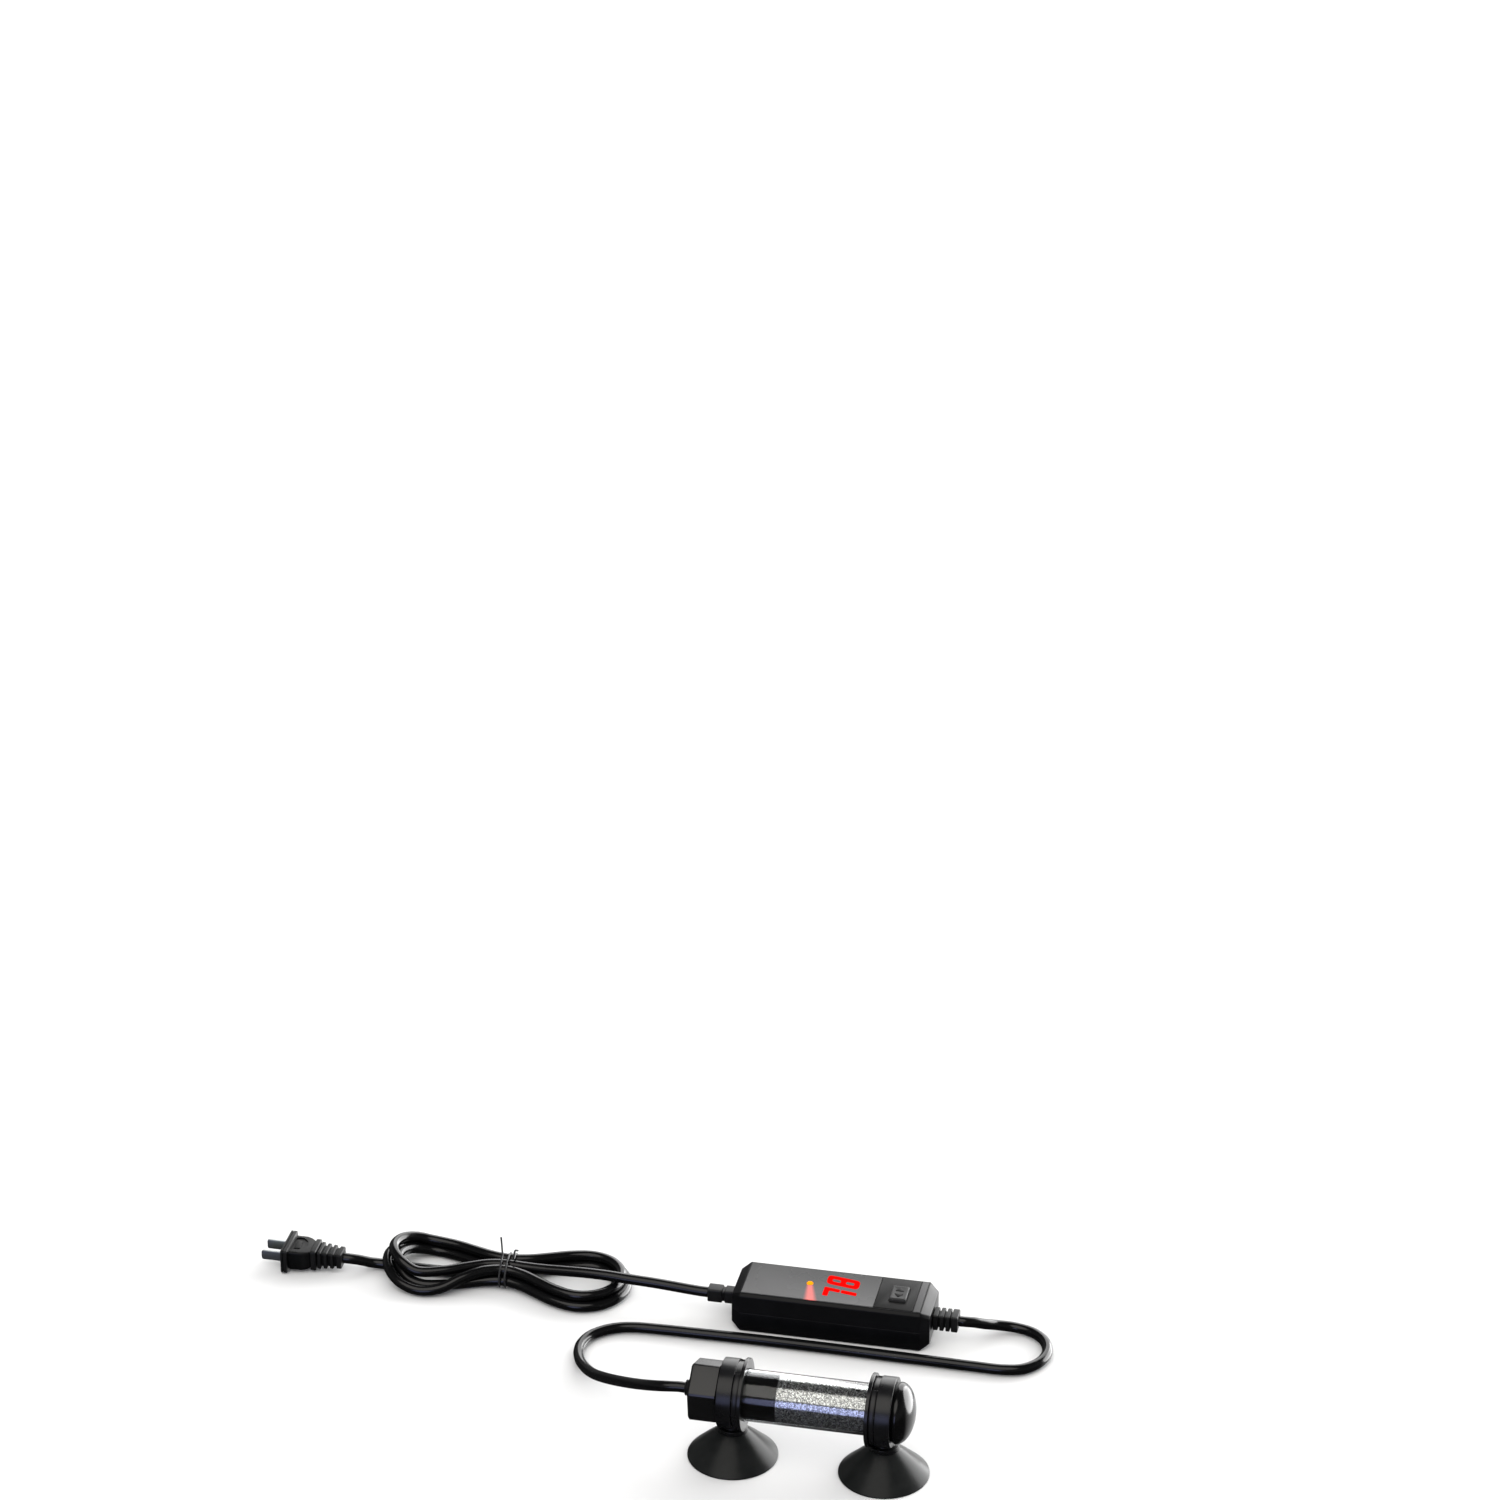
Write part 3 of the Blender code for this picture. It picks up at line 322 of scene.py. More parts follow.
# Colour and roughness
WITHOUT_PALE_EDGES = {
    "white_ceramic": ((0.8, 0.79, 0.75), 0.5),
    "red_sleeve": ((0.5, 0.04, 0.03), 0.45),
    "white_sleeve": ((0.75, 0.75, 0.72), 0.45),
    "circuit_board": ((0.02, 0.14, 0.05), 0.4),
    "transformer_winding": ((0.5, 0.3, 0.06), 0.4),
    "pale_moulding": ((0.7, 0.7, 0.66), 0.5),
}
FINISHES = {
    "clear_glass": clear_glass(),
    "quartz_sand": quartz_sand(),
    "lead_sheath": lead_sheath(),
    "cup_rubber": cup_rubber(),
    "grey_gloss_panel": display_panel(),
    "red_digits": glowing("red_digits", (1.0, 0.004, 0.003), 1.0, (0.03, 0.0, 0.0)),
    "amber_lens": glowing("amber_lens", (1.0, 0.36, 0.01), 0.95, (0.3, 0.1, 0.0)),
    "plug_blade": brushed_metal("plug_blade", (0.5, 0.53, 0.53), 0.45, (1.0, 1.0, 12.0)),
    "steel": brushed_metal("steel", (0.6, 0.6, 0.62), 0.3, (1.0, 1.0, 6.0)),
    "aluminium": brushed_metal("aluminium", (0.7, 0.7, 0.72), 0.35, (1.0, 1.0, 6.0)),
    **{name: moulded(name, *values) for name, values in MOULDED.items()},
    **{name: moulded(name, *values, edge_wear_and_highlight=0.0) for name, values in WITHOUT_PALE_EDGES.items()},
}


# ---- Shapes ----

SHARP = math.radians(40)


def added(name, data):
    """A new object in the scene."""
    obj = bpy.data.objects.new(name, data)
    bpy.context.scene.collection.objects.link(obj)
    return obj


def meshed(name, bm):
    """The bmesh, built in millimetres in the scene's frame, as an object. It is used up."""
    bmesh.ops.scale(bm, vec=(MM, MM, MM), verts=bm.verts)
    bmesh.ops.recalc_face_normals(bm, faces=bm.faces)
    mesh = bpy.data.meshes.new(name)
    bm.to_mesh(mesh)
    bm.free()
    return added(name, mesh)


def piece(name, bm, finish, body, replaced=()):
    """The bmesh as a visible piece that rides on a body."""
    obj = meshed(name, bm)
    obj.data.shade_smooth()
    obj.data.set_sharp_from_angle(angle=SHARP)
    return dress(obj, finish, body, replaced)


def dress(obj, finish, body, replaced):
    """Gives a piece its material, its body and the CAD nodes it replaces."""
    obj.data.materials.append(FINISHES[finish])
    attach(obj, body)
    if replaced:
        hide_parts(*replaced)
    return obj


def rounded(outline, radius, steps=4, to_turn=False):
    """A closed outline whose corners are arcs of that radius, or less where its sides are short. An outline
    to turn stays sharp on its axis."""
    nearly_straight, side_share = math.radians(172), 0.45
    made = []
    for i, corner in enumerate(outline):
        corner = Vector(corner)
        before = Vector(outline[i - 1]) - corner
        after = Vector(outline[(i + 1) % len(outline)]) - corner
        opening = before.angle(after)
        if opening > nearly_straight or (to_turn and corner.x == 0.0):
            made.append(tuple(corner))
            continue
        back_off = radius / math.tan(opening / 2)
        back_off = min(back_off, side_share * before.length, side_share * after.length)
        start = corner + before.normalized() * back_off
        end = corner + after.normalized() * back_off
        for k in range(steps + 1):
            t = k / steps
            made.append(tuple(start * (1 - t) ** 2 + corner * 2 * t * (1 - t) + end * t**2))
    return made


def turned(outline, centre, along="X", segments=96):
    """A solid of revolution from a closed outline of (radius, distance along the axis) points."""
    bm = bmesh.new()
    rings = []
    for radius, distance in outline:
        ring = []
        for i in range(segments):
            angle = 2 * math.pi * i / segments
            across = (radius * math.cos(angle), radius * math.sin(angle))
            offset = (distance, *across) if along == "X" else (*across, distance)
            ring.append(bm.verts.new(centre + Vector(offset)))
        rings.append(ring)
    for ring, after in zip(rings, rings[1:] + rings[:1]):
        for i in range(segments):
            j = (i + 1) % segments
            bm.faces.new((ring[i], ring[j], after[j], after[i]))
    bmesh.ops.remove_doubles(bm, verts=bm.verts, dist=1e-4)
    return bm


def lofted(sections):
    """A solid through closed sections with the same number of points, flat at both ends."""
    bm = bmesh.new()
    rings = [[bm.verts.new(point) for point in section] for section in sections]
    for ring, after in zip(rings, rings[1:]):
        for i in range(len(ring)):
            j = (i + 1) % len(ring)
            bm.faces.new((ring[i], ring[j], after[j], after[i]))
    bm.faces.new(rings[0])
    bm.faces.new(rings[-1])
    return bm


def soften(bm, radius, sharper_than=25.0, segments=3, leaving=None):
    """Rounds the edges whose faces meet at more than that angle, except those that leaving() picks."""
    bmesh.ops.recalc_face_normals(bm, faces=bm.faces)
    limit = math.radians(sharper_than)
    edges = [e for e in bm.edges if e.is_manifold and e.calc_face_angle(0.0) > limit]
    if leaving:
        edges = [e for e in edges if not leaving(e)]
    bmesh.ops.bevel(
        bm, geom=edges, offset=radius, segments=segments, profile=0.5, affect="EDGES", clamp_overlap=True
    )
    return bm


def block(low, high, radius):
    """A block between two corners, with rounded edges."""
    bm = bmesh.new()
    bmesh.ops.create_cube(bm, size=1.0)
    low, high = Vector(low), Vector(high)
    bmesh.ops.scale(bm, vec=high - low, verts=bm.verts)
    bmesh.ops.translate(bm, vec=(low + high) / 2, verts=bm.verts)
    return soften(bm, radius)


def upright_rod(place, radius, low, high):
    """A round rod that stands at a place, between two heights."""
    outline = [(0.0, low), (radius, low), (radius, high), (0.0, high)]
    return turned(outline, Vector((place.x, place.y, 0.0)), "Z", 48)


def prism(outline, low, high):
    """An upright prism on an outline of (x, y) points."""
    return lofted([[(x, y, z) for x, y in outline] for z in (low, high)])


def cut(target, bm, name):
    """Takes a shape away from a piece."""
    cutter = meshed(name, bm)
    modifier = target.modifiers.new(name, "BOOLEAN")
    modifier.operation = "DIFFERENCE"
    modifier.object = cutter
    bpy.context.view_layer.update()
    graph = bpy.context.evaluated_depsgraph_get()
    cut_mesh = bpy.data.meshes.new_from_object(target.evaluated_get(graph), depsgraph=graph)
    target.modifiers.clear()
    target.data = cut_mesh
    cut_mesh.set_sharp_from_angle(angle=SHARP)
    bpy.data.objects.remove(cutter)


def smooth_points(route, step):
    """Points a step apart on the centripetal Catmull-Rom curve through the route's points."""
    knots = [Vector(p) for p in route]
    knots = [2 * knots[0] - knots[1], *knots, 2 * knots[-1] - knots[-2]]
    dense = []
    for p0, p1, p2, p3 in zip(knots, knots[1:], knots[2:], knots[3:]):
        t1 = (p1 - p0).length ** 0.5
        t2 = t1 + (p2 - p1).length ** 0.5
        t3 = t2 + (p3 - p2).length ** 0.5
        pieces = max(2, math.ceil((p2 - p1).length / step))
        for k in range(pieces):
            t = t1 + (t2 - t1) * k / pieces
            a1 = p0.lerp(p1, t / t1)
            a2 = p1.lerp(p2, (t - t1) / (t2 - t1))
            a3 = p2.lerp(p3, (t - t2) / (t3 - t2))
            b1 = a1.lerp(a2, t / t2)
            b2 = a2.lerp(a3, (t - t1) / (t3 - t1))
            dense.append(b1.lerp(b2, (t - t1) / (t2 - t1)))
    return dense + [knots[-2]]


def wire(name, points, diameter, finish, replaced, sides=6):
    """A round cord through the points, as a curve with capped ends."""
    curve = bpy.data.curves.new(name, "CURVE")
    curve.dimensions = "3D"
    curve.bevel_depth = diameter / 2 * MM
    curve.bevel_resolution = sides
    curve.use_fill_caps = True
    spline = curve.splines.new("POLY")
    spline.points.add(len(points) - 1)
    for at, point in zip(spline.points, points):
        at.co = (*(point * MM), 1.0)
    spline.use_smooth = True
    return dress(added(name, curve), finish, "root", replaced)


# ---- Camera, light and floor ----

VIEW_AZIMUTH = math.radians(12.0)
VIEW_TILT = math.radians(26.7)
VIEW_DISTANCE = 2941.2
HEATER_RIGHT_OF_VIEW = 34.2
HEATER_BELOW_VIEW = 419.5
LENS = 120.0
SENSOR_WIDTH = 36.0
CLIP_END = 50000.0


def camera():
    """The heater lies low in the picture, so the camera looks well above it."""
    sin_a, cos_a = math.sin(VIEW_AZIMUTH), math.cos(VIEW_AZIMUTH)
    sin_t, cos_t = math.sin(VIEW_TILT), math.cos(VIEW_TILT)
    right = Vector((cos_a, sin_a, 0.0))
    up = Vector((-sin_a * sin_t, cos_a * sin_t, cos_t))
    back = Vector((sin_a * cos_t, -cos_a * cos_t, sin_t))
    heater = Vector((AXIS.x, AXIS.y, 0.0))
    eye = heater + back * VIEW_DISTANCE - right * HEATER_RIGHT_OF_VIEW + up * HEATER_BELOW_VIEW
    data = bpy.data.cameras.new("camera")
    data.lens = LENS
    data.sensor_width = SENSOR_WIDTH
    data.clip_end = CLIP_END * MM
    obj = added("camera", data)
    obj.location = eye * MM
    obj.rotation_euler = back.to_track_quat("Z", "Y").to_euler()
    bpy.context.scene.camera = obj


def far_light(name, direction, diameter, radiance, colour=(1.0, 1.0, 1.0)):
    """A round softbox far away, as wide as that many degrees, whose face has that radiance."""
    data = bpy.data.lights.new(name, "SUN")
    data.angle = math.radians(diameter)
    data.energy = radiance * math.pi * math.sin(data.angle / 2) ** 2
    data.color = colour
    obj = added(name, data)
    obj.rotation_euler = Vector(direction).to_track_quat("Z", "Y").to_euler()
    return obj


def sky():
    """Dim light from above, a pale backdrop low behind the object and to its right, and little in front."""
    world = bpy.data.worlds.new("studio")
    bpy.context.scene.world = world
    world.use_nodes = True
    nodes, links = world.node_tree.nodes, world.node_tree.links
    direction = nodes.new("ShaderNodeTexCoord").outputs["Generated"]

    def graded(towards, start, end, low, high):
        """Strength from low to high as the view turns towards a direction."""
        along = nodes.new("ShaderNodeVectorMath")
        along.operation = "DOT_PRODUCT"
        along.inputs[1].default_value = towards
        links.new(direction, along.inputs[0])
        node = nodes.new("ShaderNodeMapRange")
        for name, number in (("From Min", start), ("From Max", end)):
            node.inputs[name].default_value = number
        for name, value in (("To Min", low), ("To Max", high)):
            if isinstance(value, float):
                node.inputs[name].default_value = value
            else:
                links.new(value, node.inputs[name])
        links.new(along.outputs["Value"], node.inputs["Value"])
        return node.outputs["Result"]

    up = (0.0, 0.0, 1.0)
    backdrop = graded((0.45, 0.89, 0.0), 0.5, 0.9, 0.04, 1.5)
    overhead = graded(up, 0.3, 0.8, 0.15, 0.05)
    links.new(graded(up, -0.05, 0.1, backdrop, overhead), nodes["Background"].inputs["Strength"])
    nodes["Background"].inputs["Color"].default_value = (1.0, 1.0, 1.0, 1.0)


def pale_floor():
    """A plain floor just under the object, not seen in or through its glossy and clear pieces."""
    half, drop = 15000.0 * MM, 0.2 * MM
    corners = [(-half, -half, 0), (half, -half, 0), (half, half, 0), (-half, half, 0)]
    mesh = bpy.data.meshes.new("floor")
    mesh.from_pydata(corners, [], [(0, 1, 2, 3)])
    floor = added("floor", mesh)
    floor.location.z = -drop
    floor.visible_glossy = floor.visible_transmission = False
    finish = Finish("pale_floor")
    finish.set(Base_Color=(0.66, 0.66, 0.66, 1.0), Roughness=0.8, Specular_IOR_Level=0.0)
    mesh.materials.append(finish.material)


def studio():
    """Softboxes whose reflections are the bands of light on the object, and one that only fills the shade."""
    sky()
    far_light("back", (0.08, 0.90, 0.42), 52, 3.0)
    far_light("back_right", (0.70, 0.70, 0.12), 58, 7.0)
    far_light("front_high", (-0.16, -0.55, 0.82), 54, 1.35, (1.0, 0.97, 0.92))
    far_light("front_low", (-0.16, -0.97, 0.13), 29, 1.6, (0.52, 0.57, 1.0))
    fill = far_light("fill", (0.0, 0.0, 1.0), 130, 1.25)
    fill.visible_glossy = fill.visible_transmission = False
    bpy.context.scene.view_settings.view_transform = "Standard"
    pale_floor()


# ---- Leads ----

# The routes of part.py's leads.
HEATER_LEAD_ROUTE = [
    (-63.8, -70.9, 43.0), (-67.8, -70.9, 43.0), (-72.0, -71.0, 42.7), (-78.0, -70.3, 41.6),
    (-86.0, -67.1, 38.9), (-94.5, -61.1, 34.6), (-103.6, -52.7, 29.0), (-113.2, -42.6, 22.6),
    (-123.0, -31.5, 16.0), (-132.0, -21.0, 10.6), (-139.8, -9.9, 6.7), (-145.6, 1.0, 4.4),
    (-148.8, 11.0, 3.7), (-149.0, 20.0, 3.6), (-146.0, 28.6, 3.6), (-139.4, 36.0, 3.6),
    (-131.0, 41.0, 3.6), (-121.0, 43.6, 3.6), (-105.0, 44.6, 3.6), (-80.0, 45.2, 3.6),
    (-47.0, 45.8, 3.6), (4.0, 45.8, 3.6), (40.0, 45.3, 3.6), (70.0, 44.8, 3.6), (90.0, 44.5, 3.6),
    (106.7, 44.7, 3.6), (118.4, 47.8, 3.6), (126.9, 56.4, 3.6), (130.0, 68.0, 3.6),
    (126.9, 79.7, 3.6), (118.4, 88.2, 3.6), (106.7, 91.3, 3.9), (96.5, 88.8, 5.8),
    (88.8, 82.6, 9.6), (82.6, 78.4, 12.6), (78.0, 76.2, 13.8), (74.4, 76.1, 13.8),
]
MAINS_LEAD_ROUTE = [
    (-82.5, 76.1, 13.8), (-86.0, 76.1, 13.8), (-92.0, 76.1, 14.1), (-104.0, 75.8, 15.2),
    (-117.0, 75.9, 16.0),
]
MAINS_TAIL_ROUTE = [
    (-299.0, 79.6, 4.4), (-306.0, 76.6, 7.2), (-312.0, 75.0, 8.4), (-315.5, 75.0, 8.4),
]

# The hank: seven passes through the tie, in a lower row of four and an upper row of three, joined by
# half-round folds. A place is (across, height), counted from the tie.
FOLD_CENTRE = 49.3
UPPER = {"front": (-6.6, 10.9), "middle": (0.0, 10.9), "back": (6.6, 10.9)}
LOWER = [(-9.9, 5.2), (-3.3, 5.2), (3.3, 5.2), (9.9, 5.2)]
ON_FLOOR, ON_LOWER_ROW = 3.6, 9.3
RUN_STEPS = (12.0, 24.0, 36.0)
NEST = 1.0
ROUTE_STEP = 2.0


def run(side, tie, lobe, outwards, shift=0.0):
    """Points between the tie and a fold, spreading out evenly."""
    made = []
    for x in RUN_STEPS:
        share = x / FOLD_CENTRE
        share = share * share * (3 - 2 * share)
        across, height = (a + (b - a) * share for a, b in zip(tie, lobe))
        made.append((side * (x + shift), across, height))
    return made if outwards else made[::-1]


def fold(side, front, back, depth, heights, from_back=False, centre=FOLD_CENTRE):
    """A half-round fold, from its front to its back."""
    made = []
    middle, radius = (front + back) / 2, (back - front) / 2
    for i, height in enumerate(heights):
        angle = math.pi * (i / (len(heights) - 1) - 0.5)
        across = middle + radius * math.sin(angle)
        made.append((side * (centre + depth * math.cos(angle)), across, height))
    return made[::-1] if from_back else made


def at_tie(slot):
    """The point where a pass goes through the tie."""
    return [(0.0, *slot)]


def hank_route():
    """The mains lead's way through the hank, from the thermostat's side to the plug's."""
    left, right = -1, 1
    flat, raised = [ON_FLOOR] * 7, [ON_LOWER_ROW] * 7
    route = [(79.8, -8.5, 16.2), (66, -7.4, 16.2), (52, -6.0, 15.4), (38, -4.3, 13.8)]
    route += [(25, -2.6, 12.2), (12, -1.0, 11.2)]
    route += at_tie(UPPER["middle"]) + [(-12, -2.4, 11.1), (-24, -7.8, 10.8), (-37, -14.2, 10.4)]
    route += fold(left, -18.4, 19.2, 18.8, [10.6, 14.2, 16.4, 16.4, 15.3, 12.8, 10.2], centre=53.6)
    route += run(left, UPPER["back"], (19.2, 9.4), False)
    route += at_tie(UPPER["back"]) + run(right, UPPER["back"], (23.1, ON_LOWER_ROW), True)
    route += fold(right, -23.1, 23.1, 23.1, raised, from_back=True)
    route += run(right, UPPER["front"], (-23.1, ON_LOWER_ROW), False)
    route += at_tie(UPPER["front"]) + [(-12, -10.8, 11.5), (-24, -18.7, 9.6), (-36, -26.4, 5.4)]
    route += fold(left, -29.0, 23.7, 26.4, [3.7, 5.6, 8.8, 10.3, 8.8, 5.8, 3.7])
    route += run(left, LOWER[3], (23.7, ON_FLOOR), False, -NEST)
    route += at_tie(LOWER[3]) + run(right, LOWER[3], (26.4, ON_FLOOR), True, -NEST)
    route += fold(right, -26.4, 26.4, 26.4, flat, from_back=True)
    route += run(right, LOWER[0], (-26.4, ON_FLOOR), False, -NEST)
    route += at_tie(LOWER[0]) + [(-12, -11.4, 4.4), (-24, -15.3, 3.7), (-36, -19.6, 3.6)]
    route += fold(left, -22.0, 17.1, 19.8, [3.7, 5.3, 8.8, 10.3, 8.8, 5.8, 3.7])
    route += run(left, LOWER[2], (17.1, ON_FLOOR), False, NEST)
    route += at_tie(LOWER[2]) + run(right, LOWER[2], (19.8, ON_FLOOR), True, NEST)
    route += fold(right, -19.8, 19.8, 19.8, flat, from_back=True)
    route += run(right, LOWER[1], (-19.8, ON_FLOOR), False, NEST)
    route += at_tie(LOWER[1]) + [(-14, -3.7, 4.1), (-30, -4.2, 3.7), (-50, -4.6, 3.6)]
    route += [(-66, -4.8, 3.6), (-79.8, -4.5, 3.7)]
    return [TIE + Vector(point) for point in route]


def heater_lead():
    """The lead from the heater's gland to the thermostat's right end."""
    points = smooth_points(HEATER_LEAD_ROUTE, ROUTE_STEP)
    lead = wire("heater_cable", points, LEAD_DIAMETER, "lead_sheath", ["heater_lead"])


def mains_lead(pieces_on_it):
    """The lead from the thermostat's left end through the hank to the plug."""
    route = MAINS_LEAD_ROUTE + hank_route() + MAINS_TAIL_ROUTE
    points = smooth_points(route, ROUTE_STEP)
    stood_for = ["mains_lead", "mains_hank", "mains_lead_tail"]
    lead = wire("mains_cable", points, LEAD_DIAMETER, "lead_sheath", stood_for)


def twist_tie():
    """A stiff wire wound twice round the hank's waist, one end standing up and the other bent into a hook."""
    front, back, low, middle, top = -14.0, 14.0, 1.2, 8.6, 15.4
    wound = [(-5.2, 5.5, top + 11.5), (-4.4, 4.0, top + 6.0), (-3.4, 1.0, top + 1.2)]
    for x in (-2.6, 1.0):
        wound += [(x, -6.0, top - 0.4), (x + 0.4, front + 2.6, top - 3.4), (x + 0.6, front, middle)]
        wound += [(x + 0.8, front + 1.2, low + 1.2), (x + 1.1, 0.0, low - 0.1)]
        wound += [(x + 1.4, back - 1.2, low + 1.2), (x + 1.8, back, middle)]
        wound += [(x + 2.2, back - 2.6, top - 3.4), (x + 2.8, 5.0, top - 0.2)]
    wound += [(4.4, -1.5, top + 0.9), (4.6, -1.0, top + 3.6), (4.9, 1.2, top + 5.6), (6.0, 3.4, top + 4.4)]
    points = smooth_points([TIE + Vector(p) for p in wound], 0.8)
    return wire("tie_wire", points, 1.2, "tie_wire", ["twist_tie"], sides=4)


# ---- Plug ----


def oblong(x, centre, w, h, corner):
    """A rounded rectangle square to X, from its half width and half height."""
    outline = rounded([(-w, -h), (w, -h), (w, h), (-w, h)], corner)
    return [(x, centre.y + y, centre.z + z) for y, z in outline]


def ribbed(ribs, waists, edge, waist_corner, edge_corner, rib_corner):
    """Sections of ribs with chamfered edges and of the waists between them. A rib is (start, end, half width,
    half height), a waist (half width, half height) and a section (place, half width, half height, corner)."""
    sections = []
    for i, (start, end, width, height) in enumerate(ribs):
        if i:
            waist = (*waists[i - 1], waist_corner)
            sections += [(ribs[i - 1][1] + edge, *waist), (start - edge, *waist)]
        chamfered = (width - edge, height - edge, edge_corner)
        full = (width, height, rib_corner)
        sections += [(start, *chamfered), (start + edge, *full), (end - edge, *full), (end, *chamfered)]
    return sections


PLUG_RIBS = [
    (0.0, 3.0, 5.9, 5.1), (4.9, 7.2, 6.3, 5.4), (8.9, 11.2, 6.7, 5.7),
    (12.9, 15.1, 7.1, 6.0), (15.8, 19.2, 8.2, 6.9),
]
PLUG_BODY = [
    (19.4, 7.2, 5.6, 1.4), (20.5, 8.2, 5.9, 1.4), (22.5, 9.5, 6.2, 1.4),
    (25.5, 10.4, 6.4, 1.4), (32.6, 10.4, 6.4, 1.4),
]
PLUG_FRONT = [
    (32.9, 12.2, 7.3, 1.2), (33.3, 13.0, 7.9, 1.2), (35.3, 13.0, 7.9, 1.2),
    (35.4, 12.5, 7.4, 1.0), (35.8, 12.5, 7.4, 1.0), (35.9, 13.0, 7.9, 1.2),
    (37.0, 13.0, 7.9, 1.2), (37.2, 12.7, 7.6, 1.1),
]


def plug():
    """A moulded two-blade plug: a ribbed neck, a body with a grip sunk in each face, and a broad front."""
    waists = [(4.7 + 0.25 * i, 4.1 + 0.15 * i) for i in range(1, len(PLUG_RIBS))]
    sections = ribbed(PLUG_RIBS, waists, 0.35, 1.2, 1.1, 1.4) + PLUG_BODY + PLUG_FRONT
    rings = [oblong(PLUG.x - along, PLUG, w, h, corner) for along, w, h, corner in sections]
    bm = lofted(rings)
    body = piece("plug_moulding", bm, "plug_plastic", "root", ["plug_body"])
    bottom_pad = plug_grip(body, "plug_grip_bottom", -1)
    top_pad = plug_grip(body, "plug_grip_top", 1)
    blades = [plug_blade(node) for node in ("plug_blade_front", "plug_blade_back")]
    return [body, top_pad, bottom_pad, *blades]


def plug_grip(body, name, side):
    """A hollow in the plug's upper or lower face, with a raised pad in it."""

    def upright(outline, radius, near, far):
        corners = [(PLUG.x - along, PLUG.y + across) for along, across in rounded(outline, radius)]
        return prism(corners, *sorted((PLUG.z + side * near, PLUG.z + side * far)))

    back = [(32.0, -7.6), (32.0, 7.6), (27.5, 7.6)]
    hollow = [*back, (24.0, 4.6), (23.0, 0.0), (24.0, -4.6), (27.5, -7.6)]
    cut(body, upright(hollow, 2.0, 5.7, 8.0), name)
    pad = [(30.9, -4.6), (30.9, 4.6), (27.0, 4.0), (27.0, -4.0)]
    bm = soften(upright(pad, 0.8, 5.5, 6.1), 0.15)
    return piece(name, bm, "plug_plastic", "root")


def plug_blade(node):
    """A flat blade with rounded corners and edges."""
    low, high = mm_box(node)
    middle, half = (low.z + high.z) / 2, (high.z - low.z) / 2
    bottom, top = middle - half, middle + half
    outline = rounded([(high.x, bottom), (high.x, top), (low.x, top), (low.x, bottom)], 1.7, 6)
    bm = lofted([[(x, y, z) for x, z in outline] for y in (low.y, high.y)])
    return piece(node.replace("plug_blade", "blade"), soften(bm, 0.25, 60), "plug_blade", "root", [node])


# ---- Heater ----


def about_axis(name, outline, finish, replaced, radius=0.3):
    """A piece turned about the tube's axis from a closed outline of (radius, place along the tube) points."""
    bm = turned(rounded(outline, radius, to_turn=True), AXIS)
    return piece(name, bm, finish, "root", replaced)


def heater_tube():
    """The glass, and inside it the black end plug and the sand, each with a hole for the heating core."""
    glass, play = 1.2, 0.3
    bore = TUBE_RADIUS - glass
    fill = bore - play
    plug_end, sand_start, sand_end = -17.5, -17.2, 40.2
    wall = [(TUBE_RADIUS, TUBE_LEFT), (TUBE_RADIUS, TUBE_RIGHT), (bore, TUBE_RIGHT), (bore, TUBE_LEFT)]
    about_axis("glass_wall", wall, "clear_glass", ["glass_tube"])
    sand = [(fill, sand_start), (fill, sand_end), (6.2, sand_end), (6.2, sand_start)]
    about_axis("sand_column", sand, "quartz_sand", ["sand_fill"], 0.05)
    band = [(fill, -38.5), (fill, plug_end), (6.6, plug_end), (6.6, -38.5)]
    about_axis("black_band", band, "black_band", ["seal_plug_left"], 0.1)


def end_caps():
    """A sleeve with a flange on each end of the tube. The left one goes on as the gland's neck."""
    sleeve, flange, bore = 16.9, 21.7, 15.7
    flange_start, flange_end, sleeve_end = 36.6, 38.8, 51.6
    neck, neck_bore, bore_end, neck_end = 14.9, 12.0, 50.0, 61.5
    left = [(sleeve, -flange_end), (flange, -flange_end), (flange, -flange_start), (bore, -flange_start)]
    left += [(bore, -bore_end), (neck_bore, -bore_end), (neck_bore, -neck_end), (neck, -neck_end)]
    left += [(neck, -sleeve_end), (sleeve, -sleeve_end)]
    right = [(sleeve, flange_end), (sleeve, sleeve_end), (bore, sleeve_end), (bore, flange_start)]
    right += [(flange, flange_start), (flange, flange_end)]
    for side, outline in (("left", left), ("right", right)):
        about_axis(f"{side}_cap", outline, "black_flange", [f"{side}_end_cap"], 0.3)


def dome():
    """A flattened hollow dome, a little straight at its foot, on a spigot."""
    rim, shoulder, apex, radius, wall, bore = 51.9, 53.6, 63.6, 18.3, 2.2, 13.0
    spigot, spigot_end = 15.4, 48.5
    steps = 20
    quarter = [math.pi / 2 * i / steps for i in range(steps + 1)]
    outside = [(radius * math.sin(a), shoulder + (apex - shoulder) * math.cos(a)) for a in quarter]
    inside = [(bore * math.sin(a), shoulder + (apex - wall - shoulder) * math.cos(a)) for a in quarter]
    foot = rounded([(radius, rim), (spigot, rim), (spigot, spigot_end), (bore, spigot_end)], 0.4)
    bm = turned(outside + foot[:-1] + inside[::-1], AXIS)
    piece("dome", bm, "black_gloss", "root", ["dome_cap"])


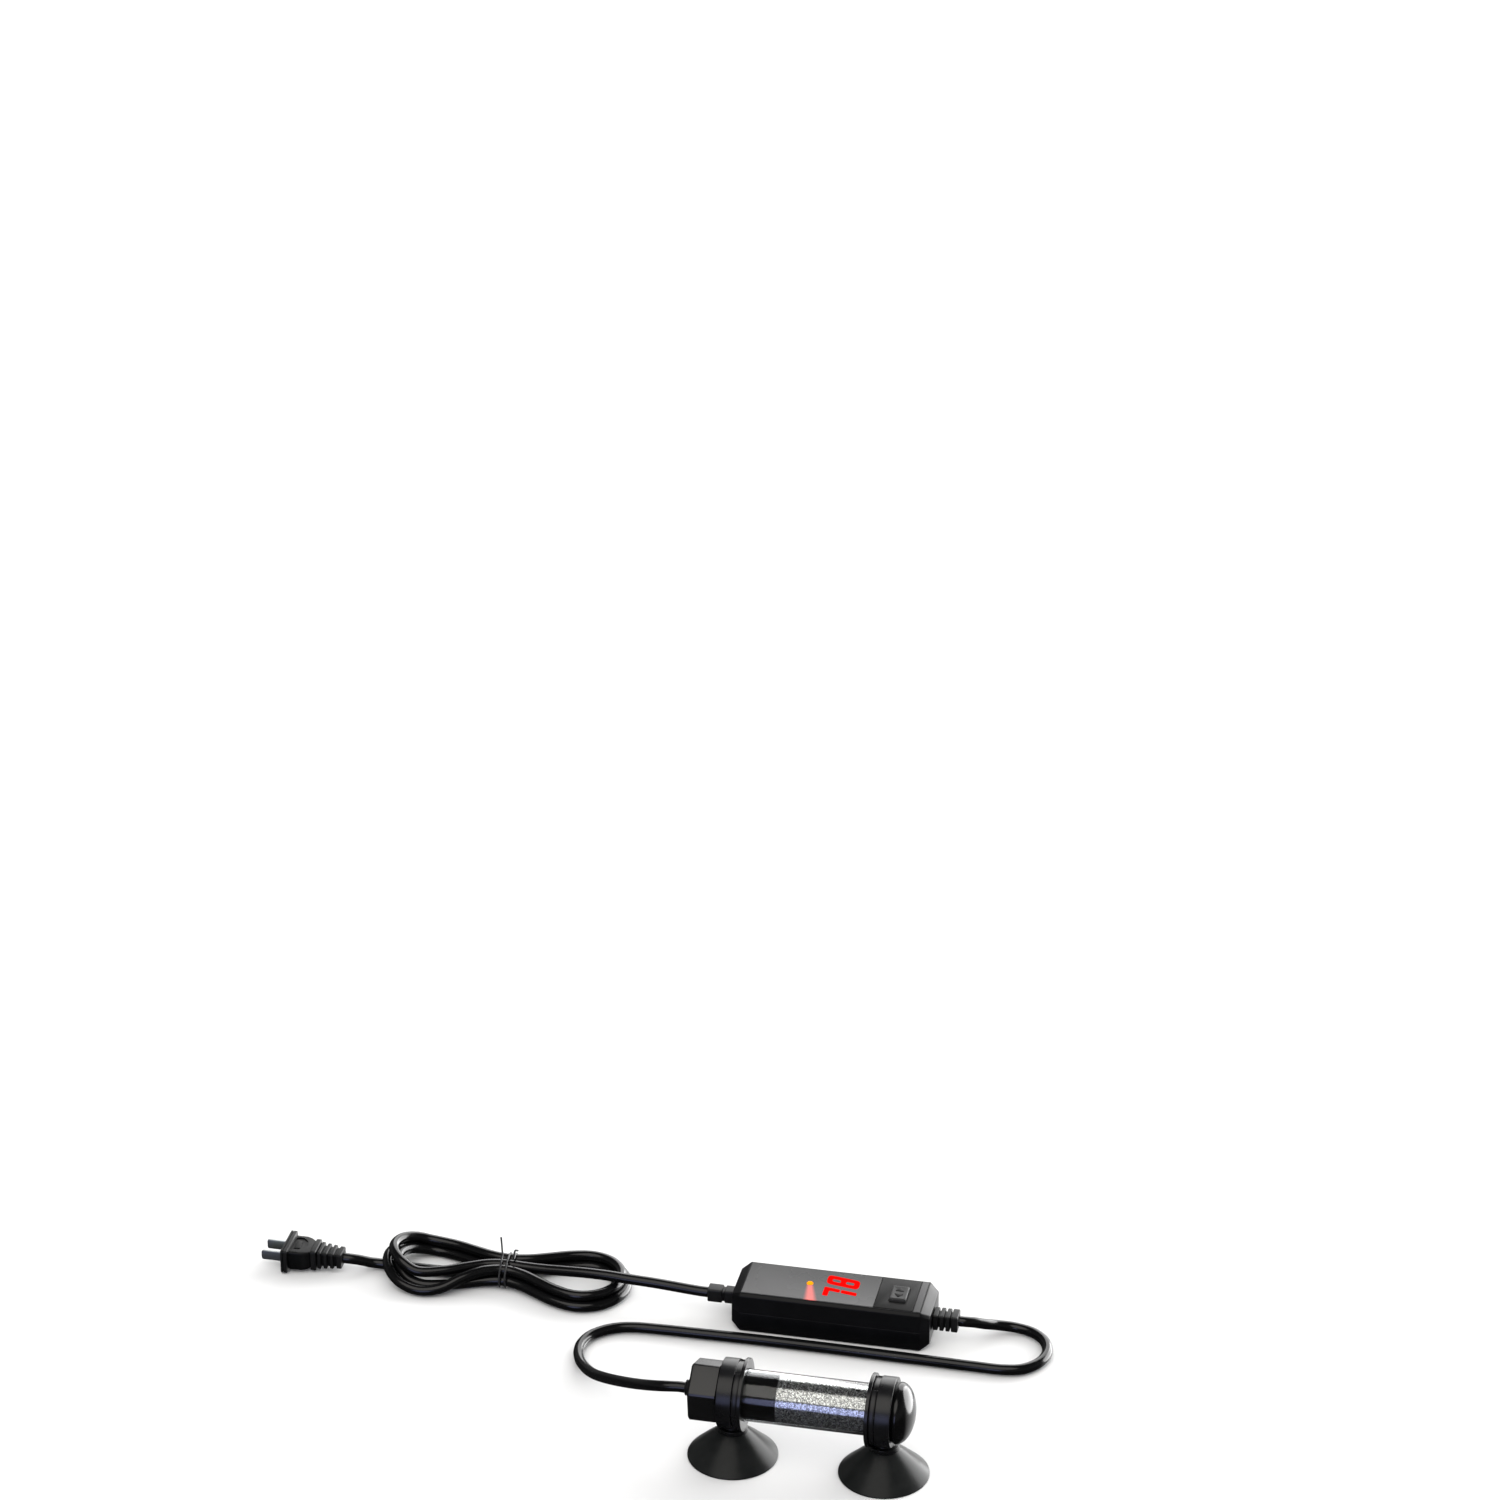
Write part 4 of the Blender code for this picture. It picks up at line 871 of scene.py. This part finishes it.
def gland():
    """The hexagonal nut, its end rim, and the boot that the lead comes out of."""
    radius, left, right, turn = 19.4, -69.2, -51.9, math.radians(37.4)
    chamfer, rim = 1.5, 0.6
    corners = [turn + k * math.pi / 3 for k in range(6)]

    def hexagon(x, reach):
        outline = [(reach * math.cos(a), reach * math.sin(a)) for a in corners]
        outline = rounded(outline, 1.5, 1)
        return [(AXIS.x + x, AXIS.y + y, AXIS.z + z) for y, z in outline]

    steps = [(left, radius - chamfer), (left + 1.1, radius), (right - rim, radius), (right, radius - rim)]
    bm = soften(lofted([hexagon(x, reach) for x, reach in steps]), 0.18, 20)
    nut = piece("hex_nut", bm, "black_plastic", "root", ["gland_nut"])
    lead_hole, thread, shelf = 3.9, 15.3, -64.0
    bore = [(0.0, left - 1), (lead_hole, left - 1), (lead_hole, shelf), (thread, shelf)]
    bore += [(thread, right + 1), (0.0, right + 1)]
    cut(nut, turned(bore, AXIS, segments=64), "nut_bore")
    collar, stem = left - 0.3, 3.6
    boot = [(0.0, -73.5), (4.4, -73.5), (4.9, -72.8), (4.4, -72.2), (5.2, -71.8), (5.8, collar)]
    boot += [(stem, collar), (stem, -62.9), (0.0, -62.9)]
    about_axis("boot", boot, "black_rubber", ["cable_boot"], 0.2)


def arc_bar(centre, outline, start, end):
    """A bar bent round the heater's axis between two angles, from an outline of (radius, x) points."""
    steps = max(2, round((end - start) / 3))
    sections = []
    for i in range(steps + 1):
        angle = math.radians(start + (end - start) * i / steps)
        y, z = -math.cos(angle), math.sin(angle)
        sections.append([centre + Vector((x, radius * y, radius * z)) for radius, x in outline])
    return soften(lofted(sections), 0.15, 50, 2)


def clip(side, inwards):
    """A ring on an end cap. Its inner edge steps down to a collar, cut away at the top and the bottom, and a
    foot under it holds the cup."""
    body = f"{side}_clip"
    low, high = mm_box(f"{side}_cup")
    centre = Vector(((low.x + high.x) / 2, AXIS.y, AXIS.z))
    half, step = 6.2, 2.75
    outline = [(20.7, -half), (20.7, step), (19.2, step), (19.2, half), (17.2, half), (17.2, -half)]
    outline = rounded([(r, inwards * x) for r, x in outline], 0.35)
    ring = piece(f"{side}_ring", turned(outline, centre), "black_satin", body, [f"{side}_clip"])
    foot_centre = Vector((centre.x, centre.y, 0.0))
    neck, socket, lip, top = 3.0, 4.6, 20.4, 24.5
    hollow = [(0.0, 15.0), (neck, 15.0), (neck, lip), (socket, lip), (socket, top), (0.0, top)]
    cut(ring, turned(hollow, foot_centre, "Z", 48), f"{side}_socket")
    foot = [(neck, 18.1), (8.8, 18.1), (8.8, 20.6), (6.6, 21.2), (6.2, 24.9)]
    foot += [(socket, top), (socket, lip), (neck, lip)]
    bm = turned(rounded(foot, 0.3), foot_centre, "Z", 64)
    piece(f"{side}_foot", bm, "black_satin", body)

    def bar(name, radii, places, start, end):
        (inner, outer), (near, far) = radii, places
        outline = [(inner, near), (outer, near), (outer, far), (inner, far)]
        outline = [(radius, inwards * x) for radius, x in outline]
        piece(f"{side}_{name}", arc_bar(centre, outline, start, end), "black_satin", body)

    for name, start in (("front", -55.0), ("back", 125.0)):
        bar(f"collar_{name}", (18.9, 20.2), (3.25, half), start, start + 124.0)
    for number, angle in enumerate((21.0, 68.0, 126.0, 173.0, 201.0, 248.0, 306.0, 353.0), 1):
        bar(f"rib_{number}", (18.9, 20.35), (2.5, 3.6), angle - 1.2, angle + 1.2)


def cup(side):
    """A suction cup: a straight-sided cone with a thin turned-down rim and a knob on a stem."""
    low, high = mm_box(f"{side}_cup")
    centre = Vector(((low.x + high.x) / 2, (low.y + high.y) / 2, 0.0))
    cone_top, stem = 17.8, 2.6
    outside = [(24.4, 0.0), (26.9, 0.0), (26.9, 0.7), (26.2, 1.5), (17.5, 9.9)]
    outside += [(8.8, cone_top), (stem, cone_top)]
    knob = [(stem, 20.7), (4.2, 20.9), (4.2, 23.2), (3.4, 24.0), (0.0, 24.0)]
    depth, reach, steps = 7.0, 18.5, 9
    hollow = [(reach * k / steps, depth * (1.0 - (k / steps) ** 2) + 0.05) for k in range(steps + 1)]
    outline = rounded(outside + knob + hollow, 0.35, to_turn=True)
    bm = turned(outline, centre, "Z", 128)
    piece(f"{side}_suction_cup", bm, "cup_rubber", f"{side}_cup", [f"{side}_cup"])


# ---- Thermostat ----

# Heights (low, high) and half sizes (along X, along Y), and where the leads go in.
SEAM = (13.2, 13.28)
CAVITY_HALVES = (57.0, 17.5)
RECESS_HALVES = (55.7, 17.3)
THROUGH = (20.0, 30.0)
BUTTON_GAP = 0.3
LEAD_ACROSS = -2.0
LEAD_HEIGHT = 13.8
RELIEF_HOLE_HALF = 4.0


def case_shell(name, node, levels, inset_at):
    """Half of the case, lofted along X: its ends taper in by the same inset on every side."""
    taper_length, taper_across = 5.5, 3.7
    full = CASE_HALF - taper_length
    sections = []
    for x, taper in ((-CASE_HALF, 1.0), (-full, 0.0), (full, 0.0), (CASE_HALF, 1.0)):
        outline = [(y - math.copysign(taper_across * taper, y), z + inset_at(z) * taper) for y, z in levels]
        sections.append([(CASE.x + x, CASE.y + y, z) for y, z in outline])
    bm = lofted(sections)
    soften(bm, 0.45, leaving=lambda edge: all(SEAM[0] <= v.co.z <= SEAM[1] for v in edge.verts))
    return piece(name, bm, "black_case", "root", [node])


def case_block(halves, low, high, radius=0.5):
    """A block centred on the thermostat, between two heights."""
    near = (CASE.x - halves[0], CASE.y - halves[1], low)
    return block(near, (CASE.x + halves[0], CASE.y + halves[1], high), radius)


def button_hole():
    """The shape of the opening round the set button."""
    low, high = mm_box("set_button")
    near = (low.x - BUTTON_GAP, low.y - BUTTON_GAP, THROUGH[0])
    return block(near, (high.x + BUTTON_GAP, high.y + BUTTON_GAP, THROUGH[1]), 0.3)


def case():
    """The two halves of the case, hollow, with their holes for the display, button, indicator and leads."""
    side, top, edge, chamfer = CASE_SIDE, CASE_TOP, 1.0, 1.8
    lower = [(-side, edge), (-side + edge, 0.0), (side - edge, 0.0), (side, edge)]
    lower += [(side, SEAM[0]), (-side, SEAM[0])]
    upper = [(-side, SEAM[1]), (side, SEAM[1]), (side, top - chamfer), (side - chamfer, top)]
    upper += [(-side + chamfer, top), (-side, top - chamfer)]
    taper = 3.5
    bottom = case_shell("case_bottom", "lower_case", lower, lambda z: taper if z < 5 else 0.0)
    lid = case_shell("case_top", "upper_case", upper, lambda z: -taper if z > 20 else 0.0)
    cut(bottom, case_block(CAVITY_HALVES, 2.2, 20.0), "bottom_cavity")
    cut(lid, case_block(CAVITY_HALVES, 5.0, 24.4), "top_cavity")
    cut(lid, case_block(RECESS_HALVES, top - 0.8, top + 5.0, 0.3), "panel_recess")
    near = (CASE.x - 9.2, CASE.y - 14.6, THROUGH[0])
    cut(lid, block(near, (CASE.x + 17.0, CASE.y + 15.3, THROUGH[1]), 0.3), "display_hole")
    cut(lid, upright_rod(LED, 2.3, *THROUGH), "indicator_hole")
    for number in range(1, 5):
        low, high = mm_box(f"case_screw_{number}")
        cut(bottom, upright_rod((low + high) / 2, 3.0, -1.0, 3.0), "screw_recess")
    cut(lid, button_hole(), "button_hole")
    across, height, half = CASE.y + LEAD_ACROSS, LEAD_HEIGHT, RELIEF_HOLE_HALF
    for end in (-1, 1):
        left, right = sorted((CASE.x + end * 56.0, CASE.x + end * 64.0))
        for shell in (bottom, lid):
            near = (left, across - half, height - half)
            cut(shell, block(near, (right, across + half, height + half), 0.3), "relief_hole")


def top_panels():
    """The panels on top, each with a softly rounded edge, and the holes for the button and the indicator."""
    for node, finish, slot in (
        ("display_window", "grey_gloss_panel", None),
        ("button_panel", "dark_panel", "black_satin"),
        ("panel_strip", "pale_strip", "grey_gloss_panel"),
    ):
        bm = block(*mm_box(node), 0.18)
        panel = piece(f"{node}_face", bm, finish, "root", [node])
        if node == "button_panel":
            cut(panel, button_hole(), "hole")
        if node == "display_window":
            cut(panel, upright_rod(LED, 2.25, *THROUGH), "hole")


def indicator():
    """The lens: a rod with a low dome that stands out of the panel."""
    foot, top, radius = 17.0, PANEL_TOP + 0.7, 2.05
    outline = [(0.0, foot), (radius, foot), (radius, top - 0.6), (1.6, top - 0.15), (0.8, top), (0.0, top)]
    bm = turned(outline, Vector((LED.x, LED.y, 0.0)), "Z", 48)
    piece("indicator_lens", bm, "amber_lens", "root", ["indicator_led"])


def digits():
    """Two slanted seven-segment digits whose tops point along -X: a 7, and an 8 beside it towards +Y."""
    half_height, half_width, bar, slant, gap = 10.35, 4.9, 3.5, 0.17, 0.35
    low, high = PANEL_TOP - 0.05, PANEL_TOP + 0.04
    inner = half_width - bar

    def flat(corners, radius, middle_y, levels):
        """A prism from (towards the top, towards the right) corners."""
        outline = []
        for up, right in rounded(corners, radius):
            outline.append((CASE.x + 3.9 - up, middle_y + right + slant * up))
        return prism(outline, *levels)

    def rectangle(up_low, up_high, right_low, right_high):
        return [(up_low, right_low), (up_high, right_low), (up_high, right_high), (up_low, right_high)]

    seven_y, eight_y = CASE.y - 7.4, CASE.y + 6.05
    hook = [(half_height, -half_width), (half_height, half_width), (gap, half_width), (gap, inner)]
    hook += [(half_height - bar, inner), (half_height - bar, -half_width)]
    stem = rectangle(-half_height, -gap, inner, half_width)
    for name, corners in (("digit_seven_top", hook), ("digit_seven_stem", stem)):
        bm = flat(corners, 0.9, seven_y, (low, high))
        piece(name, bm, "red_digits", "root")
    outer = rectangle(-half_height, half_height, -half_width, half_width)
    bm = flat(outer, 3.2, eight_y, (low, high))
    eight = piece("digit_eight", bm, "red_digits", "root")
    for start, end in ((bar / 2, half_height - bar), (bar - half_height, -bar / 2)):
        hole = flat(rectangle(start, end, -inner, inner), 1.0, eight_y, (low - 1, high + 1))
        cut(eight, hole, "hole")


def button():
    """The rectangular key, its face slightly dished, with an up and a down mark raised on it."""
    low, high = mm_box("set_button")
    body = "set_button"
    cap_low, stem_radius = 24.9, 1.6
    steps = [(cap_low, 0.0), (high.z - 0.9, 0.0), (high.z - 0.3, 0.2), (high.z - 0.05, 0.6)]
    steps += [(high.z, 1.1), (high.z - 0.12, 1.7)]
    middle, half = (low + high) / 2, (high - low) / 2
    rings = []
    for z, inset in steps:
        w, d = half.x - inset, half.y - inset
        outline = rounded([(-w, -d), (w, -d), (w, d), (-w, d)], max(0.3, 1.0 - inset * 0.4), 4)
        rings.append([(middle.x + x, middle.y + y, z) for x, y in outline])
    piece("key_cap", lofted(rings), "button_plastic", body, ["set_button"])
    stem_top = cap_low + 0.4
    stem = [(0.0, low.z), (stem_radius, low.z), (stem_radius, stem_top), (0.0, stem_top)]
    bm = turned(rounded(stem, 0.15, to_turn=True), Vector((middle.x, middle.y, 0.0)), "Z", 32)
    piece("key_stem", bm, "button_plastic", body)
    for name, direction in (("key_mark_up", 1), ("key_mark_down", -1)):
        y = middle.y + direction * 3.2
        foot = y - direction * 1.7
        outline = [(middle.x - 2.9, foot), (middle.x + 2.9, foot), (middle.x, y + direction * 2.0)]
        bm = prism(rounded(outline, 0.35, 3), high.z - 0.2, high.z + 0.12)
        piece(name, soften(bm, 0.08, 60, 2), "dark_panel", body)


def strain_relief(name, node, side, ribs, waist):
    """A ribbed rubber relief, held in the case's wall by a neck. The ribs are counted from the case's end."""
    centre = Vector((0.0, CASE.y + LEAD_ACROSS, LEAD_HEIGHT))
    face = CASE.x + side * CASE_HALF
    head, neck, corner = 5.0, 3.7, 1.1
    held = [(-6.9, head), (-4.95, head), (-4.9, neck), (0.0, neck)]
    sections = [(x, half, half, corner) for x, half in held]
    sections += ribbed(ribs, [(waist, waist)] * (len(ribs) - 1), 0.3, corner, corner, corner)
    rings = [oblong(face + side * x, centre, w, h, c) for x, w, h, c in sections]
    piece(name, lofted(rings), "black_rubber", "root", [node])


def thermostat():
    case()
    top_panels()
    indicator()
    digits()
    button()
    mains_ribs = [(0.3, 6.6, 4.1, 4.3), (8.4, 17.4, 4.2, 4.4)]
    strain_relief("mains_boot", "mains_relief", -1, mains_ribs, 3.5)
    heater_ribs = [(0.3, 3.3, 5.5, 5.3), (4.5, 7.0, 5.5, 5.3), (8.2, 10.7, 5.5, 5.3), (11.6, 15.6, 5.6, 5.3)]
    strain_relief("heater_boot", "heater_relief", 1, heater_ribs, 3.9)


# ---- CAD nodes that stay ----

INNER_NODES = {
    "black_rubber": ["seal_plug_right", "tube_gasket_left", "tube_gasket_right", "gland_seal"],
    "steel": ["heating_coil", "thermal_fuse", *(f"case_screw_{number}" for number in range(1, 5))],
    "dark_moulding": ["temperature_sensor", "relay", "tact_switch"],
    "white_ceramic": ["ceramic_core"],
    "red_sleeve": ["lead_wire_live"],
    "white_sleeve": ["lead_wire_neutral"],
    "circuit_board": ["circuit_board"],
    "pale_moulding": ["terminal_block"],
    "transformer_winding": ["transformer"],
    "aluminium": ["capacitor"],
    "display_block": ["display_module"],
}


def finish_inner_nodes():
    """Materials for the CAD nodes that no piece replaces, most of them hidden inside."""
    for finish, nodes in INNER_NODES.items():
        for node in nodes:
            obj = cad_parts[node]
            obj.data.materials.clear()
            obj.data.materials.append(FINISHES[finish])


camera()
studio()
heater_lead()
mains_lead(plug() + [twist_tie()])
heater_tube()
end_caps()
dome()
gland()
for clip_side, towards_middle in (("left", 1), ("right", -1)):
    clip(clip_side, towards_middle)
    cup(clip_side)
thermostat()
finish_inner_nodes()
